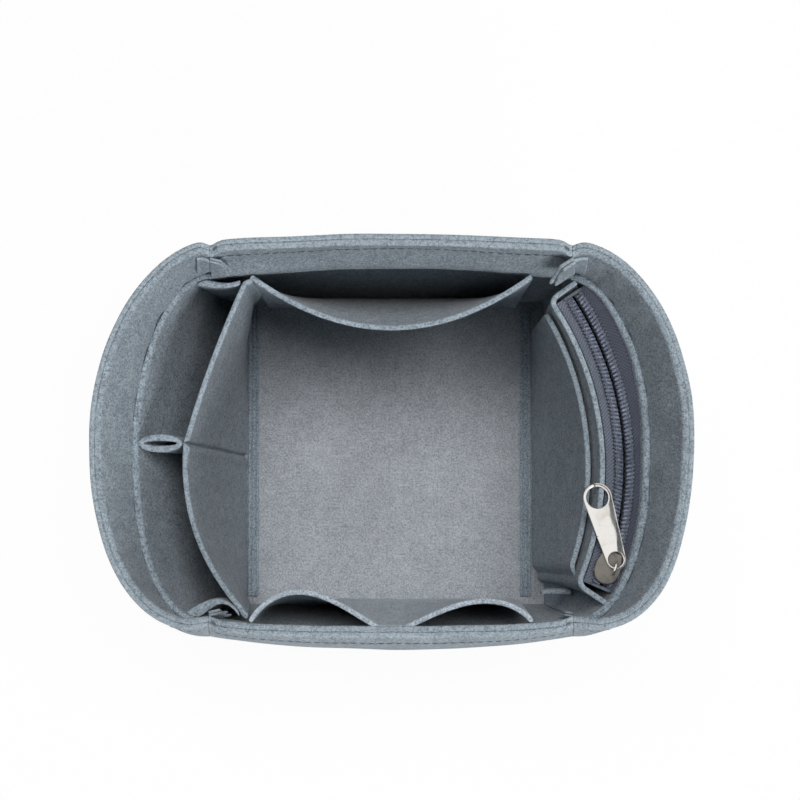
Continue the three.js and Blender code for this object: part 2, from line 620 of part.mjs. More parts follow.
class BailArch extends THREE.Curve {
  getPoint(t, target = new THREE.Vector3()) {
    const leg = pivotHeight - plateTop - SEAM;
    const whole = 2 * leg + Math.PI * bailRadius;
    const run = t * whole;
    if (run < leg) return target.set(bailRadius, 0, plateTop + SEAM + run);
    if (run > whole - leg) return target.set(-bailRadius, 0, plateTop + SEAM + whole - run);
    const angle = (run - leg) / bailRadius;
    return target.set(bailRadius * Math.cos(angle), 0, pivotHeight + bailRadius * Math.sin(angle));
  }
}
const wire = new THREE.Shape().absarc(0, 0, BAIL_WIRE / 2, 0, 2 * Math.PI);
const bail = new THREE.ExtrudeGeometry(wire, { extrudePath: new BailArch(), steps: 16, curveSegments: 8 });
addPiece("zip_bail", fromSolid(toSolid(bail)), nickel, slider).position.y = -BAIL_ASIDE;

// Pull tab: a tapered plate with a finger hole and an eye, lying across the pocket panel's edge
const spread = Math.acos((PULL_RING - PULL_EYE) / PULL_LONG);
const tabOutline = new THREE.Shape();
const eye = polar(-hang, pivotToEye);
const ringX = eye.x + PULL_LONG;
tabOutline.absarc(ringX, eye.y, PULL_RING, -spread, spread);
tabOutline.absarc(eye.x, eye.y, PULL_EYE, spread, 2 * Math.PI - spread);
for (const [x, radius] of [[ringX, PULL_RING_HOLE], [eye.x, PULL_EYE_HOLE]]) {
  tabOutline.holes.push(new THREE.Path().absarc(x, eye.y, radius, 0, 2 * Math.PI, true));
}
const flatTab = { depth: PULL_THICK, bevelEnabled: false, curveSegments: 14 };
const tab = new THREE.ExtrudeGeometry(tabOutline, flatTab);
const tabDrop = pivotHeight - PULL_THICK / 2 - MOUTH - SEAM;
const pull = new THREE.Group();
pull.position.set(0, -BAIL_ASIDE, pivotHeight);
pull.rotation.set(0, Math.atan2(tabDrop, ringX + PULL_RING), skew, "ZYX");
slider.add(pull);
addPiece("zip_pull_tab", tab.translate(0, 0, -PULL_THICK / 2), nickel, pull);

export default organizer;
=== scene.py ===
import math

import bpy
from mathutils import Matrix, Vector, noise


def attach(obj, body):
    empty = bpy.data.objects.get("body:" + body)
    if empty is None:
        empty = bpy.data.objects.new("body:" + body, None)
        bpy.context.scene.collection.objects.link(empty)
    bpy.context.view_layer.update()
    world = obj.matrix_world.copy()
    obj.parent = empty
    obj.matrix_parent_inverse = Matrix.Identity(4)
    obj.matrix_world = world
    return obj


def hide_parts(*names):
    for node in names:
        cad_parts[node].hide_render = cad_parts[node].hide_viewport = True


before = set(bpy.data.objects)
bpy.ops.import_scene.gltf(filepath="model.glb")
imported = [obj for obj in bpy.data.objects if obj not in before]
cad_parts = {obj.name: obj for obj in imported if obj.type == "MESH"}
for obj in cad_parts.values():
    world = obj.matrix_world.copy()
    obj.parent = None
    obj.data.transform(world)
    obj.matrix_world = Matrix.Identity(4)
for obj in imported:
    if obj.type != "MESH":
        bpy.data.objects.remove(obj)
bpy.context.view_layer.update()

# Purse organizer insert, dressed in felt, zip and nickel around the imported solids.
# Shape values are in millimetres, as in the part's source; meshes are written in metres.
MM = 0.001
UP = Vector((0, 0, 1))

# Felt and tub
FELT = 1.7
SEAM = 0.3
LAYER = FELT + SEAM
HEIGHT = 130.0
BASE_LENGTH = 114.0
BASE_DEPTH = 114.0
RIM_LENGTH = 187.0
RIM_DEPTH = 124.4
MOUTH_DEPTH = 127.0
RIM_CORNER_DEPTH = 120.0
RIM_SWAY = 1.8
MOUTH_SWAY = -1.5
END_DIP = 4.0
END_FLARE = 1.3
MOUTH_FULL = {"front": 0.8, "rear": 1.12}
RIM_FULL = {"right": {"front": 0.7, "rear": 1.1}, "left": {"front": 0.84, "rear": 1.22}}
WALL_FLARE = 1.4
CORNER_EASE = 12.0
CORNER_GAP = 0.06
BOARD = 1.5
STRIP_WIDE = 3.8
STRIP_THICK = 1.2
MOUTH_DROP = 24.0
MOUTH = HEIGHT - MOUTH_DROP
COLLAR_FOOT = MOUTH - 6.0
COLLAR_TURN = 12.0
HALF_LENGTH = BASE_LENGTH / 2
WALL_FOOT = LAYER
FLOOR_FOOT = LAYER + BOARD + SEAM
FLOOR = FLOOR_FOOT + FELT
LINING_FOOT = FLOOR + SEAM
END_RUN = 82.0  # rough half length of an end wall along its curve
RIM_NOTCH, RIM_NOTCH_WIDE = 1.3, 2.6  # dip of the rim at the corner seams
CORNER_DRAW, CORNER_DRAW_WIDE, CORNER_DRAW_SHARE = 1.5, 3.2, 0.7
WALL_WAVES = ((0.55, 34, 0), (0.25, 15, 40))  # amount, size and seed
WAVE_FROM_CORNER, WAVE_FOOT, WAVE_RISE = 14, 4, 25
RIGHT_RIM_OUT = 0.5
FRONT_BULGE, FRONT_BULGE_LEAN = 1.0, 1.6
AT_CORNER = 0.999
SEARCH_END, SEARCH_STEPS = 0.998, 34  # share of a side, and halvings, in finding a lining

# Pockets
POCKET_INSET = 11.0
DIVIDER_LONG = 14.0
DIVIDER_WIDE = 4.6
DIVIDER_SLIT = 1.2
DIVIDER_DEEP = 48.0
REAR_BELLY = 2.0
FRONT_BELLY = 12.0
GUSSET_FOOT = 16.0
BACK_HALF = HALF_LENGTH - 13.0
BACK_SLACK = 18.6
BACK_FLAT = 0.15
FRONT_HALF = HALF_LENGTH - 13.5
FRONT_WIDE = FRONT_HALF - 4.5
FRONT_SLACK = (10.2, 7.4)
SLACK_LEAN = 0.75
SLACK_DROOP = 1.3

# Zip
ZIP_END_INSET = {"front": 7.2, "rear": 2.2}
ZIP_SETBACK = {"front": 5.6, "middle": 6.9, "rear": 7.1}
ZIP_GUSSET_SPLAY = math.radians(9)
ZIP_REAR_OPEN = 0.5
TAPE_TOP = MOUTH - 2.2
TAPE_FOOT = TAPE_TOP - 0.6
PANEL_SETBACK = 6.1
SLOT_HALF = 0.65
COIL_WIDE = 2.6
COIL_PITCH = 1.25
COIL_FOOT = TAPE_TOP + SEAM
COIL_TOP = COIL_FOOT + 1.8
TACK_LONG = 0.8
TACK_HIGH = 1.2
SLIP_DROP = 9.0
SLIP_GAP = 1.0

# Slider and pull tab
SLIDER_CLEAR = 0.5
SLIDER_NOSE = 5.9
SLIDER_TAIL = 5.0
SLIDER_WIDE = 8.4
SLIDER_TAIL_WIDE = 6.4
SLIDER_PLATE = 1.1
SLIDER_NECK = 0.6
BAIL_WIRE = 1.0
BAIL_ASIDE = 1.9
PULL_LONG = 20.4
PULL_RING = 4.55
PULL_RING_HOLE = 3.4
PULL_EYE = 3.15
PULL_EYE_HOLE = 2.35
PULL_THICK = 1.2
PULL_SKEW = math.radians(35)
PULL_HANG = math.radians(24)

OUTWARDS = {"right": (1, 0), "back": (0, 1), "left": (-1, 0), "front": (0, -1)}


def lerp(a, b, t):
    return a + (b - a) * t


def clamp(value):
    return max(0.0, min(1.0, value))


def ease(t):
    t = clamp(t)
    return t * t * (3 - 2 * t)


def bell(x, wide):
    return math.exp(-((x / wide) ** 2))


def shares(count):
    return [k / count for k in range(count + 1)]


def plane(x, y):
    return Vector((x, y))


def raised(point, z):
    return Vector((point.x, point.y, z))


def turn_left(v):
    return plane(-v.y, v.x)


def polar(angle, radius):
    return plane(math.cos(angle) * radius, math.sin(angle) * radius)


def bent(a, b, c, t):
    """Point at a share of the curve from a to c that b draws aside."""
    return a * (1 - t) ** 2 + b * (2 * t * (1 - t)) + c * t * t


def ripple(point, size, seed=0.0):
    """Soft unevenness of the felt, from -1 to 1, that neighbouring layers share."""
    return noise.noise(Vector((point[0] + seed, point[1] - seed, point[2] + 2 * seed)) / size)


def waves(point, kinds):
    return sum(amount * ripple(point, size, seed) for amount, size, seed in kinds)


# The tub's plan, the same as in the part

def is_end(side):
    return OUTWARDS[side][1] == 0


def end_swell(s):
    return max(math.cos(s * math.pi / 2), 0.0)


def above_mouth(z):
    return (z - MOUTH) / MOUTH_DROP


def up_the_wall(z, at_mouth, at_rim):
    if z > MOUTH:
        return lerp(at_mouth, at_rim, above_mouth(z))
    return at_mouth * (max(z, 0) / MOUTH) ** WALL_FLARE


def corner_depth(z):
    return lerp(BASE_DEPTH, RIM_CORNER_DEPTH, z / HEIGHT)


def bow_at(z):
    return up_the_wall(z, MOUTH_DEPTH - corner_depth(MOUTH), RIM_DEPTH - RIM_CORNER_DEPTH) / 2


def tub_plan(side, s, z, inset):
    swell = (RIM_LENGTH - BASE_LENGTH) / 2 * (z / (HEIGHT - END_DIP)) ** END_FLARE
    rounding = min(swell / CORNER_EASE, 1)
    seam_x = HALF_LENGTH - inset * (1 - rounding)
    seam_y = corner_depth(z) / 2 - inset
    sway = up_the_wall(z, MOUTH_SWAY, RIM_SWAY)
    turn = sum(OUTWARDS[side])
    gap = CORNER_GAP if abs(s) > AT_CORNER else 0
    if is_end(side):
        half = "front" if turn * s < 0 else "rear"
        full = lerp(MOUTH_FULL[half], RIM_FULL[side][half], max(above_mouth(z), 0))
        x = seam_x + gap * rounding + (swell - inset * rounding) * end_swell(s) ** full
        y = math.sin(s * math.pi / 2) * (seam_y - gap * (1 - rounding))
        return plane(turn * x, turn * y + sway)
    return plane(-turn * s * (seam_x - gap), turn * (seam_y + bow_at(z) * (1 - s * s)) + sway)


def along_side(side, s):
    """Rough distance along a side from its middle."""
    return s * (END_RUN if is_end(side) else HALF_LENGTH)


def from_corner(side, s):
    return along_side(side, 1 - abs(s))


def rim_height(side, s):
    dip = END_DIP * end_swell(s) if is_end(side) else 0
    return HEIGHT - dip - RIM_NOTCH * bell(from_corner(side, s), RIM_NOTCH_WIDE)


def lining_inset(z):
    share = (z - LINING_FOOT) / (COLLAR_FOOT - SEAM - LINING_FOOT)
    return LAYER * (1 + clamp(share))


def collar_inset(z):
    return LAYER * (1 + clamp((MOUTH + COLLAR_TURN - z) / COLLAR_TURN))


def even_inset(z):
    return LAYER


def corner_pull(place, side, s, z):
    """The corner seams draw all the layers in a little at the rim."""
    amount = CORNER_DRAW * bell(from_corner(side, s), CORNER_DRAW_WIDE) * ease(above_mouth(z))
    return plane(-math.copysign(amount, place.x), -math.copysign(amount, place.y)) * CORNER_DRAW_SHARE


def wall_point(side, s, z, inset):
    place = tub_plan(side, s, z, inset)
    place = place + corner_pull(place, side, s, z)
    middle = tub_plan(side, s, z, LAYER)
    uneven = waves((middle.x, middle.y, z), WALL_WAVES)
    uneven *= ease(from_corner(side, s) / WAVE_FROM_CORNER) * ease((z - WAVE_FOOT) / WAVE_RISE)
    if side == "right":
        uneven += RIGHT_RIM_OUT * end_swell(s) * ease(above_mouth(z))
    if side == "front":
        uneven += FRONT_BULGE * math.sin(math.pi * clamp(above_mouth(z)) ** FRONT_BULGE_LEAN) * (1 - s * s)
    ox, oy = OUTWARDS[side]
    return Vector((place.x + ox * uneven, place.y + oy * uneven, z))


def lining_reach(side, start, direction, z):
    """Distance from a start along a direction to the room side of a lining, by halving."""
    inset = lining_inset(z) + FELT
    across = turn_left(direction)

    def aside(s):
        return (tub_plan(side, s, z, inset) - start).dot(across)

    low, high = -SEARCH_END, SEARCH_END
    rising = aside(high) > aside(low)
    for _ in range(SEARCH_STEPS):
        middle = (low + high) / 2
        if (aside(middle) < 0) == rising:
            low = middle
        else:
            high = middle
    return (tub_plan(side, low, z, inset) - start).dot(direction)


def lining_x(side, y, z):
    ox = OUTWARDS[side][0]
    return ox * lining_reach(side, plane(0, y), plane(ox, 0), z)


def lining_y(side, x, z):
    oy = OUTWARDS[side][1]
    return oy * lining_reach(side, plane(x, 0), plane(0, oy), z)


# Meshes

CUT = (0.5, 0.5, 1.0)  # rounding of the near and the far face at a cut edge, and how pale the cut is
PALE_WIDE = 1.2  # how far the pale fuzz of a cut edge reaches
NARROW = 10.0  # strips under this width count as narrow, and their flat size is taken as this width
EDGE_STEPS = (0.0, 0.08, 0.26, 0.5, 0.8, 1.3)
LINE_STEPS = (-1.1, -0.6, -0.3, 0, 0.3, 0.6, 1.1)
CLOSEST = 0.05
EDGE_SHARE = 0.3
CUT_DEEP, ROUND_DEEP = 0.47, 0.92  # most that an edge takes off a face, as a share of the thickness


def add_to_scene(name, data):
    thing = bpy.data.objects.new(name, data)
    bpy.context.scene.collection.objects.link(thing)
    return thing


def make_object(name, points, faces, material, **masks):
    mesh = bpy.data.meshes.new(name)
    mesh.from_pydata([Vector(p) * MM for p in points], [], faces)
    mesh.validate()
    for polygon in mesh.polygons:
        polygon.use_smooth = True
    for label, values in masks.items():
        mesh.attributes.new(label, "FLOAT", "POINT").data.foreach_set("value", values)
    mesh.update()
    mesh.materials.append(material)
    return add_to_scene(name, mesh)


def declare(piece, body, nodes):
    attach(piece, body)
    if nodes:
        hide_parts(*nodes)


def spaced(length, count, lines=()):
    """Shares of a span, closer together beside both cut edges and beside lines from its far end."""
    close = [d / length for d in EDGE_STEPS if d < EDGE_SHARE * length]
    places = close[:-1] + [1 - c for c in close[:-1]]
    places += [lerp(close[-1], 1 - close[-1], t) for t in shares(count)]
    for line in lines:
        places += [1 - (line + d) / length for d in LINE_STEPS]
    places.sort()
    kept = places[:1]
    for place in places[1:]:
        if (place - kept[-1]) * length > CLOSEST:
            kept.append(place)
    return kept


def run_length(points):
    return sum((b - a).length for a, b in zip(points, points[1:]))


def rounded_off(radius, to_edge):
    rest = max(radius - to_edge, 0)
    return radius - math.sqrt(max(radius ** 2 - rest ** 2, 0))


def sheet_faces(n, m, loop=False):
    """Faces of a closed sheet of n columns and m rows of points, its near face first."""
    def at(far, i, j):
        return (far * n + i % n) * m + j

    faces = []
    for i in range(n if loop else n - 1):
        for j in range(m - 1):
            faces.append((at(0, i, j), at(0, i, j + 1), at(0, i + 1, j + 1), at(0, i + 1, j)))
            faces.append((at(1, i, j), at(1, i + 1, j), at(1, i + 1, j + 1), at(1, i, j + 1)))
        faces.append((at(0, i, 0), at(0, i + 1, 0), at(1, i + 1, 0), at(1, i, 0)))
        faces.append((at(1, i, m - 1), at(1, i + 1, m - 1), at(0, i + 1, m - 1), at(0, i, m - 1)))
    for j in range(0 if loop else m - 1):
        faces.append((at(1, 0, j), at(1, 0, j + 1), at(0, 0, j + 1), at(0, 0, j)))
        faces.append((at(0, n - 1, j), at(0, n - 1, j + 1), at(1, n - 1, j + 1), at(1, n - 1, j)))
    return faces


def outward_faces(points, faces):
    """The same faces, turned so that the closed body's volume is positive."""
    volume = 0.0
    for face in faces:
        a = points[face[0]]
        for b, c in zip(face[1:], face[2:]):
            volume += a.dot(points[b].cross(points[c]))
    return faces if volume > 0 else [face[::-1] for face in faces]


def felt_mesh(place, columns, rows, thick, loop=False, top=CUT, lines=(), side=0.5, folds=()):
    """Points, faces, cut-edge mask and flat size of a felt sheet whose faces are place(u, w, depth)."""
    middle = thick / 2 if loop else 0
    long = run_length([place(t, 0.5, middle) for t in shares(40)])
    high = run_length([place(0.5, t, 0) for t in shares(20)])
    us = shares(columns)[:-1] if loop else spaced(long, columns, [f * long for f in folds])
    ws = spaced(high, rows, lines)
    points, mask = [], []
    for far in (0, 1):
        most = thick * (CUT_DEEP if top is CUT else ROUND_DEEP * top[far] / (top[0] + top[1]))
        for u in us:
            to_side = long if loop else min(u, 1 - u) * long
            for w in ws:
                to_top, to_foot = (1 - w) * high, w * high
                drop = max(rounded_off(top[far], to_top), rounded_off(CUT[far], to_foot),
                           rounded_off(side, to_side))
                drop = min(drop, most)
                points.append(place(u, w, thick - drop if far else drop))
                mask.append(max(top[2] * (1 - ease(to_top / PALE_WIDE)),
                                1 - ease(min(to_foot, to_side) / PALE_WIDE)))
    return points, sheet_faces(len(us), len(ws), loop), mask, long, high


def felt_piece(name, nodes, slot, place, columns, rows, held, rests_on, thick=FELT, felt=None, **form):
    points, faces, mask, long, high = felt_mesh(place, columns, rows, thick, **form)
    piece = make_object(name, points, outward_faces(points, faces), FELTS[felt or slot], cut_edge=mask)
    declare(piece, "insert", nodes)
    narrow = min(long, high) < NARROW
    flat = (max(long, NARROW) * MM, max(high, NARROW) * MM)


def tube(path, radius, sides):
    """Points and faces of a round thread or wire along a path; radius may change along it."""
    points, faces = [], []
    n = len(path)
    for k, centre in enumerate(path):
        along = (path[min(k + 1, n - 1)] - path[max(k - 1, 0)]).normalized()
        side = along.cross(UP).normalized()
        up = side.cross(along)
        size = radius(k / (n - 1)) if callable(radius) else radius
        for a in range(sides):
            angle = 2 * math.pi * a / sides
            points.append(centre + side * math.cos(angle) * size + up * math.sin(angle) * size)
    for k in range(n - 1):
        for a in range(sides):
            b = (a + 1) % sides
            faces.append((k * sides + a, (k + 1) * sides + a, (k + 1) * sides + b, k * sides + b))
    faces.append(tuple(range(sides)))
    faces.append(tuple((n - 1) * sides + a for a in reversed(range(sides))))
    return points, faces


def lofted(rings):
    """Points and faces of a closed body through a row of rings."""
    n = len(rings[0])
    last = (len(rings) - 1) * n
    faces = []
    for first in range(0, last, n):
        for a in range(n):
            b = (a + 1) % n
            faces.append((first + a, first + b, first + n + b, first + n + a))
    faces += [tuple(reversed(range(n))), tuple(range(last, last + n))]
    return [point for ring in rings for point in ring], faces


def hard_piece(name, bodies, material, nodes=(), body="insert", at=None):
    """One piece of several closed bodies, put in its place by a matrix where one is given."""
    points, faces = [], []
    for body_points, body_faces in bodies:
        first = len(points)
        points.extend(body_points)
        faces.extend(tuple(first + k for k in face) for face in outward_faces(body_points, body_faces))
    if at is not None:
        points = [at @ p for p in points]
    declare(make_object(name, points, faces, material), body, nodes)


# Node helpers

def feed(tree, socket, value):
    if isinstance(value, bpy.types.NodeSocket):
        tree.links.new(value, socket)
    else:
        socket.default_value = value


def add_node(tree, kind, values, **settings):
    node = tree.nodes.new("ShaderNode" + kind)
    for label, value in settings.items():
        setattr(node, label, value)
    for label, value in values.items():
        feed(tree, node.inputs[label], value)
    return node.outputs


def calc(tree, operation, a, b, limit=False):
    return add_node(tree, "Math", {0: a, 1: b}, operation=operation, use_clamp=limit)[0]


def weighted(tree, *terms, limit=False):
    """Sum of values times their weights, held between 0 and 1 if limited."""
    total, *others = [calc(tree, "MULTIPLY", value, weight) for value, weight in terms]
    for part in others:
        total = calc(tree, "ADD", total, part, limit)
    return total


def blend_colour(tree, factor, a, b, kind="MIX"):
    return add_node(tree, "Mix", {0: factor, 6: a, 7: b}, data_type="RGBA", blend_type=kind)[2]


def spread(tree, value, low, high, to_low=0.0, to_high=1.0):
    return add_node(tree, "MapRange", dict(enumerate((value, low, high, to_low, to_high))))[0]


def grain(tree, vector, scale, detail, rough, distortion=0.0):
    return add_node(tree, "TexNoise", {"Vector": vector, "Scale": scale, "Detail": detail,
                                       "Roughness": rough, "Distortion": distortion})[0]


def stretched(tree, vector, scale, turn=(0, 0, 0)):
    return add_node(tree, "Mapping", {"Vector": vector, "Rotation": turn, "Scale": scale})[0]


def attribute(tree, label):
    return add_node(tree, "Attribute", {}, attribute_name=label)["Fac"]


def new_group(name, *colours, masks=()):
    """A surface effect: from place, colours and masks to colour, roughness and height."""
    tree = bpy.data.node_groups.new(name, "ShaderNodeTree")
    sockets = [("Place", "INPUT", "Vector")]
    sockets += [(label, "INPUT", "Color") for label in colours]
    sockets += [(label, "INPUT", "Float") for label in masks]
    sockets += [("Color", "OUTPUT", "Color"), ("Roughness", "OUTPUT", "Float"), ("Height", "OUTPUT", "Float")]
    for label, way, kind in sockets:
        tree.interface.new_socket(name=label, in_out=way, socket_type="NodeSocket" + kind)
    return tree, tree.nodes.new("NodeGroupInput").outputs, tree.nodes.new("NodeGroupOutput").inputs


def fill_group(tree, out, colour, rough, height):
    for label, value in (("Color", colour), ("Roughness", rough), ("Height", height)):
        feed(tree, out[label], value)
    return tree


def place_group(tree, group, **values):
    return add_node(tree, "Group", {label.replace("_", " "): value for label, value in values.items()},
                    node_tree=group)


def new_material(name):
    material = bpy.data.materials.new(name)
    material.use_nodes = True
    tree = material.node_tree
    return material, tree, tree.nodes.new("ShaderNodeTexCoord").outputs["Object"]


def set_surface(tree, colour, rough, height, strength, distance, constants):
    """Feeds the shader: colour, roughness, a bump and its constant values."""
    normal = add_node(tree, "Bump", {"Strength": strength, "Distance": distance, "Height": height})[0]
    shader = tree.nodes["Principled BSDF"]
    for label, value in {"Base Color": colour, "Roughness": rough, "Normal": normal, **constants}.items():
        feed(tree, shader.inputs[label], value)


def painted(*screen):
    """A colour as a screen shows it, as the shader wants it."""
    def linear(v):
        v /= 255
        return v / 12.92 if v <= 0.04045 else ((v + 0.055) / 1.055) ** 2.4
    return (*map(linear, screen), 1.0)


# Materials

def felt_fibre_group():
    """Matted fibres: fine speckle, short strands, soft mottling and pale fuzzy cut edges."""
    tree, given, out = new_group("felt_fibres", "Shade", "Pale", masks=["Cut edge"])
    place = stretched(tree, given["Place"], (1, 1, 0.55))
    fine = spread(tree, grain(tree, place, 1350, 2, 0.6), 0.33, 0.67)
    dust = spread(tree, grain(tree, place, 2700, 2, 0.5), 0.36, 0.64)
    blotch = spread(tree, grain(tree, place, 330, 2, 0.5, 0.3), 0.33, 0.67)
    strands_a, strands_b = (
        grain(tree, stretched(tree, place, scale, turn), 1.0, 2, 0.5, 0.8)
        for scale, turn in (((1500, 240, 900), (0.3, 0.5, 0.6)), ((260, 1300, 800), (0.7, 0.2, 1.3))))
    strands = spread(tree, calc(tree, "MAXIMUM", strands_a, strands_b), 0.52, 0.76)
    mask = weighted(tree, (fine, 0.52), (dust, 0.3), (blotch, 0.18), (strands, 0.16), limit=True)
    colour = blend_colour(tree, mask, given["Shade"], given["Pale"])
    broad = spread(tree, grain(tree, place, 90, 2, 0.5), 0.3, 0.7, 0.93, 1.05)
    tone = add_node(tree, "CombineColor", dict.fromkeys(range(3), broad))[0]
    colour = blend_colour(tree, 1.0, colour, tone, "MULTIPLY")
    fuzz = calc(tree, "MULTIPLY", given["Cut edge"], spread(tree, fine, 0.0, 1.0, 0.06, 0.5))
    colour = blend_colour(tree, fuzz, colour, given["Pale"])
    height = weighted(tree, (fine, 0.5), (blotch, 0.5), (strands, 0.3))
    return fill_group(tree, out, colour, spread(tree, fine, 0.0, 1.0, 0.86, 1.0), height)


def twist_group():
    """Twisted filaments of thread and tape: fine slanted lines, paler where their bump stands higher."""
    tree, given, out = new_group("yarn_twist", "Yarn", "Shade")
    fine = grain(tree, stretched(tree, given["Place"], (2600, 700, 2600), (0, 0, 0.7)), 1.0, 3, 0.6)
    broad = grain(tree, given["Place"], 180, 2, 0.5)
    mask = spread(tree, weighted(tree, (fine, 0.7), (broad, 0.3)), 0.35, 0.65)
    colour = blend_colour(tree, mask, given["Shade"], given["Yarn"])
    return fill_group(tree, out, colour, spread(tree, fine, 0.3, 0.7, 0.55, 0.8), fine)


def metal_wear_group():
    """Plated metal: hairline scratches, faint stains and small dents."""
    tree, given, out = new_group("plating_wear", "Plate", "Stain")
    stain = grain(tree, given["Place"], 230, 4, 0.6, 0.5)
    hair = grain(tree, stretched(tree, given["Place"], (3200, 260, 900), (0, 0, 0.25)), 1.0, 2, 0.6)
    dents = grain(tree, given["Place"], 420, 2, 0.5)
    mask = spread(tree, stain, 0.52, 0.78, 0.0, 0.7)
    colour = blend_colour(tree, mask, given["Plate"], given["Stain"])
    rough = calc(tree, "ADD", spread(tree, hair, 0.4, 0.75, 0.0, 0.14), spread(tree, stain, 0.4, 0.8, 0.0, 0.14))
    height = weighted(tree, (dents, 0.7), (hair, 0.2))
    return fill_group(tree, out, colour, calc(tree, "ADD", rough, 0.16), height)


FIBRES = felt_fibre_group()
TWIST = twist_group()
PLATING = metal_wear_group()


def felt_material(name, shade, pale):
    material, tree, place = new_material(name)
    fibres = place_group(tree, FIBRES, Place=place, Shade=painted(*shade), Pale=painted(*pale),
                         Cut_edge=attribute(tree, "cut_edge"))
    set_surface(tree, fibres["Color"], fibres["Roughness"], fibres["Height"], 0.6, 0.0004,
                {"Specular IOR Level": 0.12, "Sheen Weight": 0.15, "Sheen Roughness": 0.55})
    return material


def thread_material(name, yarn, shade):
    material, tree, place = new_material(name)
    yarns = place_group(tree, TWIST, Place=place, Yarn=painted(*yarn), Shade=painted(*shade))
    set_surface(tree, yarns["Color"], yarns["Roughness"], yarns["Height"], 0.5, 0.0002, {"Sheen Weight": 0.2})
    return material


def tape_material(name, yarn, shade, furrow_shade):
    """Woven zip tape: slanted ribs that turn near the middle of each tape, with painted shade in the furrows between
    them.
    """
    material, tree, place = new_material(name)
    yarns = place_group(tree, TWIST, Place=place, Yarn=painted(*yarn), Shade=painted(*shade))
    rib = spread(tree, attribute(tree, "weave"), -0.5, 0.6)
    # the furrows between the ribs take the darker colour: painted shade
    colour = blend_colour(tree, rib, painted(*furrow_shade), yarns["Color"])
    height = weighted(tree, (rib, 0.8), (yarns["Height"], 0.3))
    set_surface(tree, colour, yarns["Roughness"], height, 0.6, 0.0002, {"Sheen Weight": 0.15})
    return material


def coil_material():
    """Moulded nylon filament, navy grey, paler in spots where its bump stands higher."""
    material, tree, place = new_material("nylon_coil")
    coil_speckle = grain(tree, place, 900, 3, 0.6)
    raised_paler = spread(tree, weighted(tree, (coil_speckle, 1.0), (grain(tree, place, 120, 2, 0.5), 0.5)), 0.6, 0.95)
    colour = blend_colour(tree, raised_paler, painted(74, 80, 98), painted(140, 147, 165))
    rough = spread(tree, coil_speckle, 0.3, 0.7, 0.28, 0.5)
    set_surface(tree, colour, rough, coil_speckle, 0.15, 0.0001, {"Specular IOR Level": 0.55})
    return material


def nickel_material(name, plate, stain, bump, dull):
    material, tree, place = new_material(name)
    wear = place_group(tree, PLATING, Place=place, Plate=painted(*plate), Stain=painted(*stain))
    rough = calc(tree, "ADD", wear["Roughness"], dull)
    set_surface(tree, wear["Color"], rough, wear["Height"], bump, 0.0003, {"Metallic": 1.0})
    return material


def board_material():
    """Grey pulp board with flecks."""
    material, tree, place = new_material("pulp_board")
    fleck = grain(tree, place, 600, 4, 0.7)
    mask = weighted(tree, (fleck, 0.6), (grain(tree, place, 60, 3, 0.5), 0.4))
    colour = blend_colour(tree, spread(tree, mask, 0.35, 0.65), painted(112, 104, 92), painted(158, 150, 136))
    set_surface(tree, colour, spread(tree, fleck, 0.3, 0.7, 0.75, 0.95), fleck, 0.3, 0.0003, {})
    return material


FELTS = {
    "shell_felt": felt_material("grey_felt", (94, 106, 116), (174, 186, 195)),
    "pocket_felt": felt_material("pocket_felt", (80, 90, 100), (174, 187, 197)),
    # Front pocket panel: the pocket felt painted lighter, painted light on the panel's face
    "front_felt": felt_material("front_pocket_felt_painted_lighter", (126, 137, 147), (220, 232, 242)),
    # Floor felt: the same felt painted lighter than the walls, painted light on the floor
    "floor_felt": felt_material("floor_felt", (130, 135, 142), (194, 198, 203)),
}
ROOM_TAPE = tape_material("room_side_zip_tape", (130, 137, 149), (98, 104, 116), (84, 89, 102))
# Wall side tape: the same tape as the room side, painted darker as painted shade from the wall and lining beside it
WALL_TAPE_PAINTED_SHADE = tape_material("wall_side_zip_tape_painted_shade", (92, 96, 109), (66, 70, 82), (58, 62, 74))
COIL = coil_material()
# Seam thread painted darker than the felt: painted shade of the pits the stitches sink into
STITCH = thread_material("stitching_thread_painted_shade", (102, 111, 120), (66, 74, 82))
TACK = thread_material("bar_tack_thread", (120, 127, 138), (70, 76, 88))
NICKEL = nickel_material("nickel_pull", (236, 233, 228), (200, 193, 183), 0.12, 0.05)
DARK_NICKEL = nickel_material("nickel_slider", (134, 129, 123), (98, 93, 86), 0.2, 0.2)
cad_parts["base_board"].data.materials.clear()
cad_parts["base_board"].data.materials.append(board_material())


# Tub: base, walls, facing collars and linings

SLAB_WAVES = ((1.0, 26, 0), (0.4, 9, 20))  # share, size and seed
FLOOR_UNEVEN, STRIP_UNEVEN = 0.12, 0.1


def slab_place(x, long, deep, foot, uneven=0.0):
    def place(u, w, depth):
        px = x + lerp(-long / 2, long / 2, u)
        py = lerp(-deep / 2, deep / 2, w)
        return Vector((px, py, foot + depth + uneven * waves((px, py, 0), SLAB_WAVES)))
    return place


inner_long = BASE_LENGTH - 2 * LAYER
inner_deep = BASE_DEPTH - 2 * LAYER
felt_piece("base_felt_sheet", ["base_felt"], "shell_felt",
           slab_place(0, BASE_LENGTH, BASE_DEPTH, 0), 40, 40, "laid", ["base_board"])
felt_piece("floor_felt_sheet", ["floor_felt"], "floor_felt",
           slab_place(0, inner_long, inner_deep, FLOOR_FOOT, FLOOR_UNEVEN), 60, 60, "laid", ["base_board"])

